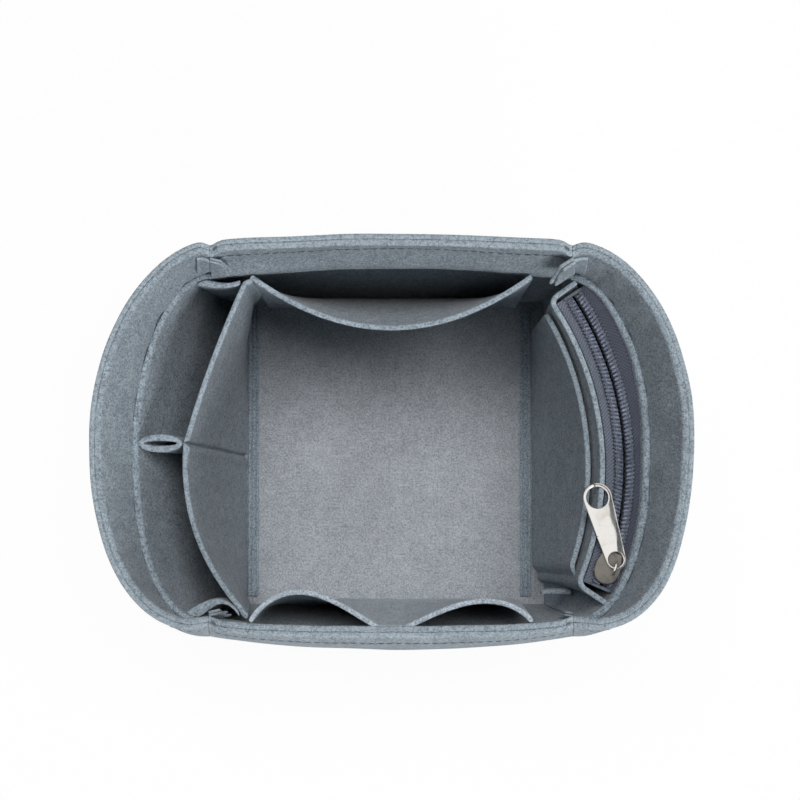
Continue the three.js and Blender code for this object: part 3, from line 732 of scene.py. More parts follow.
RIM_STITCH_DOWN = 7.0
STITCH_PRESS, STITCH_PRESS_WIDE = 0.42, 0.6
CREASES = ((1.0, 7.5, 40, 3.1), (0.5, 3.1, 14, 8.4))  # amount, size along and up the wall, seed
CREASE_DEEP = {"end": 0.95, "long": 0.12}
CREASE_FROM_CORNER, CREASE_BELOW_RIM, CREASE_EASE = 6, 1, 7
SNUG = SEAM - 0.02
FACING_PALE = {"back": 0.8, "front": 0.25}
LINING_FULL = {"right": 0.5, "left": 0.1}
LINING_FULL_DEEP = 20
WALL_ROUND = (0.6, 0.4, 0.9)
END_FACING_ROUND = (0.4, 1.0, 0.0)
LINING_ROUND = {"right": (1.2, 0.9, 0.0), "left": (0.6, 1.1, 0.0)}
SEWN_END = 0.15  # rounding of a layer's ends in the corner seams


def layer_place(side, foot, top, inset_at, crease=0.0, stitched=None, snug=0.0, full=0.0):
    """A layer of the tub's wall; a stitched face, near (0) or far (1), is pressed in along the rim's seam."""
    def place(u, w, depth):
        s = lerp(-1, 1, u)
        z = lerp(foot, top(s), w)
        far = depth > FELT / 2
        inset = inset_at(z) + depth if far else inset_at(z) + depth - snug
        if far:
            inset += full * ease((z - MOUTH + LINING_FULL_DEEP) / LINING_FULL_DEEP)
        if stitched == far:
            press = STITCH_PRESS * bell(top(s) - z - RIM_STITCH_DOWN, STITCH_PRESS_WIDE)
            inset += -press if far else press
        point = wall_point(side, s, z, inset)
        if crease and far:
            run = along_side(side, s)
            fold = sum(amount * noise.noise(Vector((run / long, z / high, seed)))
                       for amount, long, high, seed in CREASES)
            fold *= ease(from_corner(side, s) / CREASE_FROM_CORNER)
            fold *= ease((top(s) - z - CREASE_BELOW_RIM) / CREASE_EASE)
            point -= Vector((*OUTWARDS[side], 0)) * (crease * fold)
        return point
    return place


for side in OUTWARDS:
    top = lambda s, side=side: rim_height(side, s)
    if is_end(side):
        name, columns, seam_lines, near, far = side + "_end", 90, (), None, None
        collar_at, lining_at = even_inset, lining_inset
        collar_top, fold_deep = END_FACING_ROUND, CREASE_DEEP["end"]
    else:
        name, columns, seam_lines, near, far = side, 60, (RIM_STITCH_DOWN,), 0, 1
        collar_at, lining_at = collar_inset, even_inset
        collar_top, fold_deep = (0.4, 0.6, FACING_PALE[side]), CREASE_DEEP["long"]
    wall, collar, lining = (f"{name}_{layer}" for layer in ("wall", "collar", "lining"))
    felt_piece(wall + "_felt", [wall], "shell_felt",
               layer_place(side, WALL_FOOT, top, lambda z: 0, stitched=near), columns, 44,
               "stretched", ["base_felt_sheet"], top=WALL_ROUND, lines=seam_lines, side=SEWN_END)
    felt_piece(collar + "_felt", [collar], "shell_felt",
               layer_place(side, COLLAR_FOOT, top, collar_at, fold_deep, far, SNUG), columns + 40, 16,
               "stretched", [wall + "_felt"], top=collar_top, lines=seam_lines, side=SEWN_END)
    place = layer_place(side, LINING_FOOT, lambda s: MOUTH, lining_at, snug=SNUG, full=LINING_FULL.get(side, 0.0))
    felt_piece(lining + "_felt", [lining], "pocket_felt", place, columns, 36,
               "stretched", [collar + "_felt", "floor_felt_sheet"], top=LINING_ROUND.get(side, CUT), side=SEWN_END)


# Seam allowance in the corners: two plies folded against the long walls' facings, at the back one against the ends'

# splay in degrees, length, thickness of one ply, how far its top lies below the rim and its foot above the pockets
CORNER_TABS = {
    ("back", 1): (32, 8.0, 1.1, 1.0, 9.0), ("back", -1): (10, 6.5, 0.7, 1.5, 9.0),
    ("front", 1): (6, 4.5, 0.7, 5.0, 8.0), ("front", -1): (10, 6.5, 0.8, 3.5, 8.0),
}
TAB_REACH, TAB_REACH_LESS, TAB_REACH_TOP = 1.08, 0.14, 0.55  # at the foot, less for the second ply, and at the top
TAB_OFF, TAB_APART, TAB_CURL, TAB_CURL_SHARE = 0.06, 0.1, 0.5, 0.4
TAB_SAG, PLY_SAG = 2.4, 0.5
FLAP_ABOVE, FLAP_BELOW, FLAP_THICK = 6.0, 3.4, 1.2
FLAP_START, FLAP_SHARE, FLAP_SHARE_TOP = 0.992, 0.115, 0.72
FLAP_OFF, FLAP_CURL = 0.1, 0.25


def tab_place(side, hand, ply):
    back = OUTWARDS[side][1]
    splay, tab_long, thick, below, above = CORNER_TABS[side, hand]
    splay = math.radians(splay)
    along = plane(-hand * math.cos(splay), -back * math.sin(splay))
    across = plane(hand * math.sin(splay), -back * math.cos(splay))

    def place(u, w, depth):
        z = lerp(MOUTH + above, HEIGHT - below, w)
        corner = tub_plan(side, -1, z, collar_inset(z) + FELT)
        corner = plane(hand * abs(corner.x), corner.y)
        corner = corner + corner_pull(corner, side, 1, z)
        curl = TAB_CURL * math.sin(w * 5 + ply * 2) * u
        reach = tab_long * u * lerp(TAB_REACH - TAB_REACH_LESS * ply, TAB_REACH_TOP, w)
        start = corner + across * (TAB_OFF + ply * (thick + TAB_APART) + depth + TAB_CURL_SHARE * curl * ply)
        return raised(start + along * reach, z - TAB_SAG * u * w - PLY_SAG * ply * (1 - u))
    return place, thick


for side in ("front", "back"):
    for hand, label in ((-1, "left"), (1, "right")):
        node = f"{side}_{label}_corner_tab"
        for ply in (0, 1):
            place, thick = tab_place(side, hand, ply)
            felt_piece(f"{node}_ply{ply + 1}", [node] if ply == 0 else [], "shell_felt", place, 8, 20,
                       "folded", [f"{side}_collar_felt"], thick)


def end_flap_place(side):
    """The end facing's own seam allowance, turned back on its face in the rear corner."""
    def place(u, w, depth):
        z = lerp(MOUTH + FLAP_ABOVE, HEIGHT - FLAP_BELOW, w)
        wide = FLAP_SHARE * lerp(1.0, FLAP_SHARE_TOP, w)
        s = OUTWARDS[side][0] * (FLAP_START - wide * u)
        return wall_point(side, s, z, LAYER + FELT + FLAP_OFF + depth + FLAP_CURL * math.sin(4 * w) * u)
    return place


for side in ("left", "right"):
    felt_piece(f"back_{side}_facing_flap", [], "shell_felt", end_flap_place(side), 10, 18, "folded",
               [f"{side}_end_collar_felt"], FLAP_THICK)


# Binding strips on the floor

strip_deep = inner_deep - 4 * LAYER - 2 * SEAM
STRIP_ROWS = (-0.75, 0.85)
STRIP_GROOVE, STRIP_GROOVE_WIDE = 0.5, 0.28


def strip_place(x):
    """A binding strip with the grooves of its two rows of stitches."""
    flat = slab_place(x, STRIP_WIDE, strip_deep, FLOOR + SEAM, STRIP_UNEVEN)

    def place(u, w, depth):
        point = flat(u, w, depth)
        if depth > STRIP_THICK / 2:
            for row in STRIP_ROWS:
                point.z -= STRIP_GROOVE * bell(point.x - x - row, STRIP_GROOVE_WIDE)
        return point
    return place


for node, x in (("left_floor_strip", STRIP_WIDE / 2 + 3 * LAYER - HALF_LENGTH),
                ("right_floor_strip", HALF_LENGTH - 4 * LAYER - STRIP_WIDE / 2)):
    felt_piece(node + "_felt", [node], "shell_felt", strip_place(x), 22, 50, "laid",
               ["floor_felt_sheet"], STRIP_THICK)


# Left end pocket

PANEL_FOOT_X = HALF_LENGTH - 2 * LAYER
PANEL_HEIGHT = MOUTH - LINING_FOOT
LEFT_END_X = -(HALF_LENGTH - POCKET_INSET)
HOOK_SHARE = 0.045
HOOK_LONG = {"back": 3.4, "front": 2.2}
HOOK_PAST, HOOK_TURN_X, HOOK_TURN_Y = 0.4, 0.4, 0.6
BELLY_FROM = 0.6
ROOM_BELLY = 2.6  # of the panel's rear end
GUSSET_BELLY = {"front": 4.2, "rear": 1.0}
GUSSET_SHORT, GUSSET_BEHIND, GUSSET_LEAN = 0.4, 0.2, 0.8
GUSSET_WAVE = ((0.5, 18, 7),)
PANEL_STEP, PANEL_WAVE = 0.003, 22
SOFT_ENDS, SOFT_FOOT, SOFT_MOUTH = 8, 4, 6  # how soon a panel's unevenness sets in
DIVIDER_SEAM_LEAN = -1.2
DIVIDER_SEAM = ((0.8, 0.0, 0.55), (-0.3, 2.2, 1.6))  # share drawn in, how far aside and how wide
DIVIDER_FOLD_STEP = 0.016
DIVIDER_OPEN = 0.25


def height_share(z):
    return (z - LINING_FOOT) / PANEL_HEIGHT


def left_gusset_end(side, z):
    corner = tub_plan(side, 1, z, lining_inset(z) + FELT)
    x = lerp(FELT - PANEL_FOOT_X, LEFT_END_X, height_share(z))
    return plane(x, corner.y - OUTWARDS[side][1] * SEAM)


def left_panel_end(side, z):
    end = left_gusset_end(side, z)
    return plane(end.x - FELT, end.y - OUTWARDS[side][1] * LAYER)


def bowed(start, end, belly):
    middle = start.lerp(end, 0.5) + turn_left((end - start).normalized()) * belly
    return lambda t: bent(start, middle, end, t)


pinch = plane(lining_x("left", 0, MOUTH) + DIVIDER_LONG + 2 * SEAM, 0)
front_mouth = bowed(left_panel_end("front", MOUTH), pinch, FRONT_BELLY)
rear_mouth = bowed(pinch, left_panel_end("back", MOUTH), REAR_BELLY)
front_run, rear_run = (run_length([mouth(t) for t in shares(60)]) for mouth in (front_mouth, rear_mouth))
PINCH_SHARE = front_run / (front_run + rear_run)


def left_panel_at(u, w):
    foot = left_panel_end("front", LINING_FOOT).lerp(left_panel_end("back", LINING_FOOT), u)
    if u < PINCH_SHARE:
        mouth = front_mouth(u / PINCH_SHARE)
    else:
        mouth = rear_mouth((u - PINCH_SHARE) / (1 - PINCH_SHARE))
    return foot.lerp(mouth, w)


def panel_place(path, top, uneven=0.35, hand=1):
    """Felt standing to the left (1) or right (-1) of the direction of travel of path(u, w)."""
    def place(u, w, depth):
        along = (path(min(u + PANEL_STEP, 1), w) - path(max(u - PANEL_STEP, 0), w)).normalized()
        z = lerp(LINING_FOOT, top(u) if callable(top) else top, w)
        base = path(u, w)
        soft = uneven * ripple((base.x, base.y, z), PANEL_WAVE)
        soft *= ease(min(u, 1 - u) * SOFT_ENDS) * ease(w * SOFT_FOOT) * ease((1 - w) * SOFT_MOUTH)
        return raised(base + turn_left(along) * (hand * depth + soft), z)
    return place


def left_band(u, w):
    """The panel with both its ends hooked round to the long walls; its rear end bellies into the room."""
    belly = ROOM_BELLY * math.sin(math.pi * w)
    if HOOK_SHARE < u < 1 - HOOK_SHARE:
        v = (u - HOOK_SHARE) / (1 - 2 * HOOK_SHARE)
        return left_panel_at(v, w) + plane(belly * ease((v - BELLY_FROM) / (1 - BELLY_FROM)), 0)
    if u < 0.5:
        side, start = "front", left_panel_at(0, w)
    else:
        side, start = "back", left_panel_at(1, w) + plane(belly, 0)
    outwards = OUTWARDS[side][1]
    wall_y = left_gusset_end(side, lerp(LINING_FOOT, MOUTH, w)).y
    end = plane(start.x + HOOK_LONG[side], wall_y + outwards * HOOK_PAST)
    control = plane(start.x + HOOK_TURN_X, end.y - outwards * HOOK_TURN_Y)
    return bent(start, control, end, 1 - min(u, 1 - u) / HOOK_SHARE)


def left_panel_place():
    """The panel, its room side drawn in along the seam that holds the divider."""
    plain = panel_place(lambda u, w: left_band(1 - u, w), MOUTH)

    def place(u, w, depth):
        point = plain(u, w, depth)
        if depth < FELT / 2:
            return point
        off_seam = point.y - lerp(DIVIDER_SEAM_LEAN, 0.0, w)
        drawn_in = sum(share * bell(off_seam + aside, wide) for share, aside, wide in DIVIDER_SEAM)
        return point.lerp(plain(u, w, 0.0), drawn_in)
    return place


felt_piece("left_pocket_panel_felt", ["left_pocket_panel"], "pocket_felt", left_panel_place(), 130, 30, "hung",
           ["left_end_lining_felt", "left_floor_strip_felt"],
           folds=[lerp(HOOK_SHARE, 1 - HOOK_SHARE, PINCH_SHARE - DIVIDER_FOLD_STEP * k) for k in range(4)])


def gusset_place(side, sign, belly):
    """A gusset of the left pocket, from the panel's end to the end lining."""
    direction = plane(-1, 0)
    across = turn_left(direction)

    def place(u, w, depth):
        z = lerp(FLOOR + GUSSET_FOOT, MOUTH, w)
        start = left_gusset_end(side, z) - plane(FELT + GUSSET_BEHIND, 0) + across * (depth * sign)
        long = lining_reach("left", start, direction, z) - GUSSET_SHORT
        bulge = math.sin(math.pi * u) * ease((1 - w) * 4) * waves((0, 0, z), GUSSET_WAVE)
        bulge += sign * belly * math.sin(math.pi * u ** GUSSET_LEAN) * ease(w)
        return raised(start + direction * (long * u) + across * bulge, z)
    return place


for side, label, sign in (("back", "rear", 1), ("front", "front", -1)):
    node = f"left_pocket_{label}_gusset"
    felt_piece(node + "_felt", [node], "pocket_felt", gusset_place(side, sign, GUSSET_BELLY[label]), 16, 26,
               "stretched", [f"{side}_lining_felt"])


def divider_place(u, w, depth):
    z = lerp(MOUTH - DIVIDER_DEEP, MOUTH, w)
    near = lining_x("left", 0, z) + SEAM
    far = left_panel_at(PINCH_SHARE, height_share(z)).x - SEAM
    angle = 2 * math.pi * u
    half = (far - near) / 2 - min(depth, (far - near) / 4)
    open_more = 1 + DIVIDER_OPEN * ease(w)
    return Vector(((near + far) / 2 + half * math.cos(angle),
                   (DIVIDER_WIDE / 2 - depth) * math.sin(angle) * open_more, z))


felt_piece("left_pocket_divider_felt", ["left_pocket_divider"], "pocket_felt", divider_place, 64, 16, "folded",
           ["left_end_lining_felt", "left_pocket_panel_felt"], (DIVIDER_WIDE - DIVIDER_SLIT) / 2, loop=True)


# Slack pockets on the long walls

def slack_place(side, half, slack_at, flat=0.0):
    """A slack panel that lies flat on its lining over a share of its height from the foot."""
    inwards = -OUTWARDS[side][1]

    def path(u, w):
        x = lerp(-half, half, u) * inwards
        z = lerp(LINING_FOOT, MOUTH, w)
        slack = slack_at(x) * clamp((w - flat) / (1 - flat)) ** SLACK_DROOP
        return plane(x, lining_y(side, x, z) + inwards * (SEAM + slack))
    return panel_place(path, MOUTH, 0.25)


def back_slack(x):
    return BACK_SLACK * (1 - (x / BACK_HALF) ** 2)


def front_slack(x):
    share = clamp((FRONT_HALF - abs(x)) / FRONT_WIDE)
    return FRONT_SLACK[0 if x < 0 else 1] * math.sin(math.pi * share ** SLACK_LEAN)


felt_piece("back_pocket_panel_felt", ["back_pocket_panel"], "pocket_felt",
           slack_place("back", BACK_HALF, back_slack, BACK_FLAT), 70, 30, "hung", ["back_lining_felt"])
# The front panel wears the lighter copy of the pocket felt: painted light
felt_piece("front_pocket_panel_felt", ["front_pocket_panel"], "pocket_felt",
           slack_place("front", FRONT_HALF, front_slack), 90, 26, "hung", ["front_lining_felt"],
           felt="front_felt", top=(0.5, 0.5, 0.0))


# Zipped pocket, laid out about the centre of the zip's arc

def circle_centre(a, b, c):
    ab, ac = b - a, c - a
    lift = turn_left(ab) * ac.length_squared - turn_left(ac) * ab.length_squared
    return a + lift / (2 * (ab.x * ac.y - ab.y * ac.x))


def zip_station(y, setback):
    return plane(lining_x("right", y, MOUTH) - setback, y)


def mouth_corner_y(side):
    return tub_plan(side, 1, MOUTH, lining_inset(MOUTH) + FELT).y


zip_ends = (zip_station(mouth_corner_y("front") + ZIP_END_INSET["front"], ZIP_SETBACK["front"]),
            zip_station(mouth_corner_y("back") - ZIP_END_INSET["rear"], ZIP_SETBACK["rear"]))
ZIP_CENTRE = circle_centre(zip_ends[0], zip_station(0, ZIP_SETBACK["middle"]), zip_ends[1])
ZIP_RADIUS = (zip_ends[0] - ZIP_CENTRE).length
PANEL_RADIUS = ZIP_RADIUS - PANEL_SETBACK
GUSSET_ANGLE = [math.atan2(*reversed((end - ZIP_CENTRE)[:])) for end in zip_ends]
GUSSET_SHARE = 0.17
BAND_ROUND, BAND_ROUND_SHARE = 4.0, 0.9
ARC_OVER_CHORD = 1.03


def on_zip(angle, radius):
    return ZIP_CENTRE + polar(angle, radius)


ZIP_END_Y = [on_zip(angle, PANEL_RADIUS).y for angle in GUSSET_ANGLE]


def zip_panel_at(u, w, depth, trim):
    turn = trim / PANEL_RADIUS
    angle = lerp(GUSSET_ANGLE[0] + turn, GUSSET_ANGLE[1] - turn, u)
    y = lerp(ZIP_END_Y[0] + trim, ZIP_END_Y[1] - trim, u)
    return plane(PANEL_FOOT_X - depth, y).lerp(on_zip(angle, PANEL_RADIUS - depth), w)


gusset_runs = {}


def zip_gusset_run(end, w):
    """Direction and length of a gusset from the panel's corner to the lining."""
    if (end, w) not in gusset_runs:
        angle = (GUSSET_ANGLE[0] - ZIP_GUSSET_SPLAY if end == 0 else GUSSET_ANGLE[1]) * w
        direction = polar(angle, 1)
        corner = zip_panel_at(end, w, FELT, 0)
        long = lining_reach("right", corner, direction, lerp(LINING_FOOT, MOUTH, w)) - GUSSET_SHORT
        gusset_runs[end, w] = direction, max(long, GUSSET_SHORT)
    return gusset_runs[end, w]


def zip_band(u, w):
    """Room side of the pocket's felt: front gusset, panel and rear gusset in one, with rounded corners."""
    end = 0 if u < 0.5 else 1
    share = u if end == 0 else 1 - u
    corner = zip_panel_at(end, w, FELT, 0)
    direction, long = zip_gusset_run(end, w)
    panel_long = ARC_OVER_CHORD * (zip_panel_at(1, w, FELT, 0) - zip_panel_at(0, w, FELT, 0)).length

    def on_panel(run):
        return zip_panel_at(run / panel_long if end == 0 else 1 - run / panel_long, w, FELT, 0)

    if share < GUSSET_SHARE:
        run = (share / GUSSET_SHARE - 1) * long
    else:
        run = (share - GUSSET_SHARE) / (1 - 2 * GUSSET_SHARE) * panel_long
    radius = min(BAND_ROUND, BAND_ROUND_SHARE * long)
    if run < -radius:
        return corner - direction * run
    if run > radius:
        return on_panel(run)
    return bent(corner + direction * radius, corner, on_panel(radius), (run + radius) / (2 * radius))


felt_piece("zip_pocket_band_felt", ["zip_pocket_panel", "zip_pocket_front_gusset", "zip_pocket_rear_gusset"],
           "pocket_felt", panel_place(zip_band, MOUTH, 0.2, -1), 170, 30, "stretched",
           ["right_end_lining_felt", "floor_felt_sheet"])

SLIP_TOP = MOUTH - SLIP_DROP
SLIP_LONG, SLIP_SHARE = 88.0, 0.985
SLIP_EASE, SLIP_SUNK, SLIP_THIN = 18, 0.9, 0.2
SLIP_CORNER, SLIP_CORNERS = 0.8, (5.0, 6.0)
SEAM_END_X, SEAM_END_Y, SEAM_END_Z, SEAM_END_CURL = (49.8, 59.6), -48.9, (49.0, 60.5), 0.3


def slip_full(u):
    """0 at the slip pocket's front end, which is sewn down thin, and 1 along the rest."""
    return ease(u * SLIP_EASE)


def slip_path(u, w):
    stand = FELT + lerp(SEAM, SLIP_GAP, w) * slip_full(u) - SLIP_SUNK * (1 - slip_full(u))
    return zip_panel_at(lerp(0.0, SLIP_SHARE, u), w * height_share(SLIP_TOP), stand, LAYER)


def slip_top(u):
    """The slip pocket's mouth, rounded down at both its ends."""
    ends = zip(SLIP_CORNERS, (u, 1 - u))
    return SLIP_TOP - SLIP_CORNER * sum(rounded_off(radius, share * SLIP_LONG) for radius, share in ends)


plain_slip = panel_place(slip_path, slip_top, 0.15)
felt_piece("slip_pocket_panel_felt", ["slip_pocket_panel"], "pocket_felt",
           lambda u, w, depth: plain_slip(u, w, depth * lerp(SLIP_THIN, 1.0, slip_full(u))), 90, 28, "stretched",
           ["zip_pocket_band_felt", "right_floor_strip_felt"], top=(0.3, 0.5, 0.8))


def seam_end_place(u, w, depth):
    return Vector((lerp(*SEAM_END_X, u), SEAM_END_Y + depth + SEAM_END_CURL * math.sin(3 * u), lerp(*SEAM_END_Z, w)))


felt_piece("gusset_seam_end_felt", [], "pocket_felt", seam_end_place, 10, 10, "folded", ["zip_pocket_band_felt"])

# Zip tapes, coils and bar tacks

tape_turn = (LAYER + SEAM) / PANEL_RADIUS
TAPE_ANGLE = [GUSSET_ANGLE[0] + tape_turn, GUSSET_ANGLE[1] - tape_turn - ZIP_REAR_OPEN / ZIP_RADIUS]
tack_turn = (TACK_LONG + SEAM) / ZIP_RADIUS
COIL_ANGLE = [TAPE_ANGLE[0] + tack_turn, TAPE_ANGLE[1] - tack_turn]
TAPE_COLUMNS, TAPE_ROWS = 900, 12
RIB_PITCH = 1.15
RIB_HIGH = 0.05
RIB_TURN = 0.45  # where across the tape its ribs turn back
TAPE_EDGE = 0.4
SLIT_HALF = 0.36
COIL_WIRE = 0.46
COIL_HEAD = 0.32
COIL_STEPS = 14
SEWING_ROWS = (0.62, 0.86)
SEWING_STEPS = 8
SEWING_WIRE, SEWING_SINK, SEWING_WAVE = 0.17, 0.16, 0.13
TACK_WIRE, TACK_SPREAD, TACK_SINK, TACK_SHORT = 0.19, 0.36, 0.1, 0.3
COIL_SIDES, THREAD_SIDES = 7, 6
TACK_WIDE = 2 * SLOT_HALF + 2 * COIL_WIDE


def tape_piece(name, node, material, inner_at, outer_at, slant):
    """Woven tape; its ribs run slanting across it and turn back near its middle."""
    points, ribs = [], []
    for top in (0, 1):
        for t in shares(TAPE_COLUMNS):
            angle = lerp(*TAPE_ANGLE, t)
            inner = inner_at(angle)
            wide = outer_at(angle) - inner
            run = (angle - TAPE_ANGLE[0]) * ZIP_RADIUS
            for v in shares(TAPE_ROWS):
                fold = abs(v - RIB_TURN) * wide
                rib = math.sin(2 * math.pi * (run + slant * fold) / RIB_PITCH)
                rib *= ease(min(v, 1 - v) * wide / TAPE_EDGE)
                z = TAPE_TOP - RIB_HIGH + RIB_HIGH * rib if top else TAPE_FOOT
                points.append(raised(on_zip(angle, inner + wide * v), z))
                ribs.append(rib)
    faces = sheet_faces(TAPE_COLUMNS + 1, TAPE_ROWS + 1)
    piece = make_object(name, points, outward_faces(points, faces), material, weave=ribs)
    declare(piece, "insert", [node])
    middle = lerp(*TAPE_ANGLE, 0.5)
    wide = outer_at(middle) - inner_at(middle)


def to_lining(angle):
    return lining_reach("right", ZIP_CENTRE, polar(angle, 1), TAPE_TOP) - SEAM


tape_piece("zip_tape_room_weave", "zip_tape_room_side", ROOM_TAPE, lambda a: PANEL_RADIUS + SEAM,
           lambda a: ZIP_RADIUS - SLIT_HALF, 1.0)
tape_piece("zip_tape_wall_weave", "zip_tape_wall_side", WALL_TAPE_PAINTED_SHADE, lambda a: ZIP_RADIUS + SLIT_HALF, to_lining, -1.0)


def coil_piece(name, node, sign):
    """A filament wound in turns along the tape, with the sewing thread that holds it."""
    turns = round((COIL_ANGLE[1] - COIL_ANGLE[0]) * ZIP_RADIUS / COIL_PITCH)
    middle = (COIL_FOOT + COIL_TOP) / 2
    rise = (COIL_TOP - COIL_FOOT) / 2 - COIL_WIRE
    near, far = COIL_HEAD + COIL_WIRE, SLOT_HALF + COIL_WIDE - COIL_WIRE
    shift = 0.5 if sign > 0 else 0.0

    def on_coil(share, across, z):
        return raised(on_zip(lerp(*COIL_ANGLE, share), ZIP_RADIUS + sign * lerp(near, far, across)), z)

    winding = []
    for k in range((turns - 1) * COIL_STEPS + 1):
        phase = 2 * math.pi * k / COIL_STEPS
        winding.append(on_coil((k / COIL_STEPS + shift) / turns, 0.5 - 0.5 * math.cos(phase),
                               middle + rise * math.sin(phase)))
    hard_piece(name, [tube(winding, COIL_WIRE, COIL_SIDES)], COIL, [node])
    sewing = []
    for row in SEWING_ROWS:
        line = [on_coil(share, row, COIL_TOP - SEWING_SINK + SEWING_WAVE * math.cos(2 * math.pi * share * turns))
                for share in shares(turns * SEWING_STEPS)]
        sewing.append(tube(line, SEWING_WIRE, THREAD_SIDES))
    hard_piece(name + "_sewing", sewing, TACK)


coil_piece("zip_coil_room_winding", "zip_coil_room_side", -1)
coil_piece("zip_coil_wall_winding", "zip_coil_wall_side", 1)

tack_half = TACK_LONG / 2 / ZIP_RADIUS
for label, angle in (("front", TAPE_ANGLE[0] + tack_half), ("rear", TAPE_ANGLE[1] - tack_half)):
    wraps = []
    for wrap in shares(3):
        turn = angle + lerp(-TACK_SPREAD, TACK_SPREAD, wrap) * TACK_LONG / ZIP_RADIUS
        line = []
        for t in shares(12):
            z = COIL_FOOT + TACK_SINK + (TACK_HIGH - TACK_SHORT) * math.sin(math.pi * t) ** 0.4
            line.append(raised(on_zip(turn, ZIP_RADIUS + lerp(-TACK_WIDE / 2, TACK_WIDE / 2, t)), z))
        wraps.append(tube(line, TACK_WIRE, THREAD_SIDES))
    hard_piece(f"zip_{label}_bar_tack", wraps, TACK, [f"zip_{label}_tack"])


# Stitching along the rim and round the foot

STITCH_PITCH = 2.8
STITCH_ARCH, STITCH_LOW, STITCH_TIP = 1.2, 0.6, 0.55  # as shares of the radius
STITCH_REACH = 0.97  # share of a side that its stitches cover
RIM_SINK = 0.75
FACE_SINK = 0.22
FOOT_SINK = 0.02
FOOT_STITCH_UP = 6.0
UNDER_RIM = FELT + SEAM / 2
CORNER_TACK_AT, CORNER_TACK_STEP, CORNER_TACK_SINK = 0.975, 0.011, 0.35


def stitches(name, spots, long, radius):
    """Short arched stitches; each spot is a middle, a direction along the row and an outward direction."""
    bodies = []
    for middle, along, outward in spots:
        line = []
        for t in shares(5):
            lift = math.sin(math.pi * t) * radius * STITCH_ARCH - radius * STITCH_LOW
            line.append(middle + along * (t - 0.5) * long + outward * lift)
        bodies.append(tube(line, lambda t: radius * lerp(STITCH_TIP, 1, math.sin(math.pi * t)), THREAD_SIDES))
    hard_piece(name, bodies, STITCH)


def row_spots(side, z_at, inset_at, outward=None):
    """Places of a row of stitches along one side of the tub, facing away from it unless told otherwise."""
    fine = [lerp(-STITCH_REACH, STITCH_REACH, t) for t in shares(600)]
    points = [wall_point(side, s, z_at(s), inset_at(z_at(s))) for s in fine]
    spots, travelled, following = [], 0.0, STITCH_PITCH / 2
    for a, b in zip(points, points[1:]):
        travelled += (b - a).length
        if travelled >= following:
            along = (b - a).normalized()
            away = Vector((along.y, -along.x, 0)).normalized()
            spots.append((b, along, away if outward is None else outward))
            following += STITCH_PITCH
    return spots


rim_spots, face_spots, foot_spots, corner_spots = [], [], [], []
for side in OUTWARDS:
    on_rim = lambda s, side=side: rim_height(side, s) - RIM_SINK
    on_face = lambda s, side=side: rim_height(side, s) - RIM_STITCH_DOWN
    rim_spots += row_spots(side, on_rim, lambda z: UNDER_RIM, UP)
    face_spots += row_spots(side, on_face, lambda z: FACE_SINK)
    foot_spots += row_spots(side, lambda s: FOOT_STITCH_UP, lambda z: FOOT_SINK)
    if not is_end(side):
        inner = row_spots(side, on_face, lambda z: collar_inset(z) + FELT - FACE_SINK)
        face_spots += [(spot, along, -away) for spot, along, away in inner]
for side in ("front", "back"):
    for hand in (-1, 1):
        for k in range(3):
            s = hand * (CORNER_TACK_AT - CORNER_TACK_STEP * k)
            spot = wall_point(side, s, rim_height(side, s) - CORNER_TACK_SINK, UNDER_RIM)
            corner_spots.append((spot, Vector((0, 1, 0)), UP))
stitches("corner_bar_tacks", corner_spots, 3.0, 0.3)
stitches("rim_stitching", rim_spots, 1.5, 0.34)
stitches("facing_stitching", face_spots, 2.3, 0.22)
stitches("foot_stitching", foot_spots, 1.9, 0.2)


# Slider, bail and pull tab

SLIDER_TURN = COIL_ANGLE[0] + (SLIDER_CLEAR + SLIDER_NOSE) / ZIP_RADIUS
PLATE_FOOT = COIL_TOP + SEAM
PLATE_TOP = PLATE_FOOT + SLIDER_PLATE
LOWER_FOOT = TAPE_FOOT - SEAM - SLIDER_PLATE
slider_spot = raised(on_zip(SLIDER_TURN, ZIP_RADIUS), 0)
SLIDER_FRAME = Matrix.Translation(slider_spot) @ Matrix.Rotation(SLIDER_TURN + math.pi / 2, 4, "Z")
EYE_RIM = PULL_EYE - PULL_EYE_HOLE
PIVOT_TO_EYE = PULL_EYE_HOLE + EYE_RIM / 2
BAIL_RADIUS = 1.8
BAIL_STEPS = 40
BAIL_SIDES = 14
BAIL_SINK = 0.2
BAIL_BROAD, BAIL_THIN, BAIL_FOOT_STEPS = (0.5, 0.75), (0.46, 0.56), 5  # shares of the wire, on top and at its feet
PLATE_CROWN, PLATE_EDGE, LOWER_EDGE = 0.25, 0.4, 0.3
NECK_INTO, NECK_MORE = 0.3, 0.4
CHEEK_THICK, CHEEK_HIGH, CHEEK_DOWN = 0.6, 1.4, 0.2
EYE_BEHIND = PULL_EYE - PIVOT_TO_EYE * math.cos(PULL_HANG)
PIVOT_HEIGHT = PLATE_TOP + SEAM + math.hypot(PULL_THICK / 2, EYE_BEHIND)
EYE = polar(-PULL_HANG, PIVOT_TO_EYE)
TAB_DROP = PIVOT_HEIGHT - PULL_THICK / 2 - MOUTH - SEAM
BAIL_FRAME = SLIDER_FRAME @ Matrix.Translation((0, -BAIL_ASIDE, 0))
PULL_FRAME = (BAIL_FRAME @ Matrix.Translation((0, 0, PIVOT_HEIGHT)) @ Matrix.Rotation(PULL_SKEW, 4, "Z")
              @ Matrix.Rotation(math.atan2(TAB_DROP, EYE.x + PULL_LONG + PULL_RING), 4, "Y")
              @ Matrix.Translation((EYE.x, EYE.y, 0)))
PULL_CUT = 0.42 * PULL_LONG  # where the mesh round the eye meets the mesh round the ring
PULL_STATIONS = 17  # points from a hole to the rim
HOLE_STEPS = (0, 0.1, 0.22, 0.4, 0.65, 0.95)
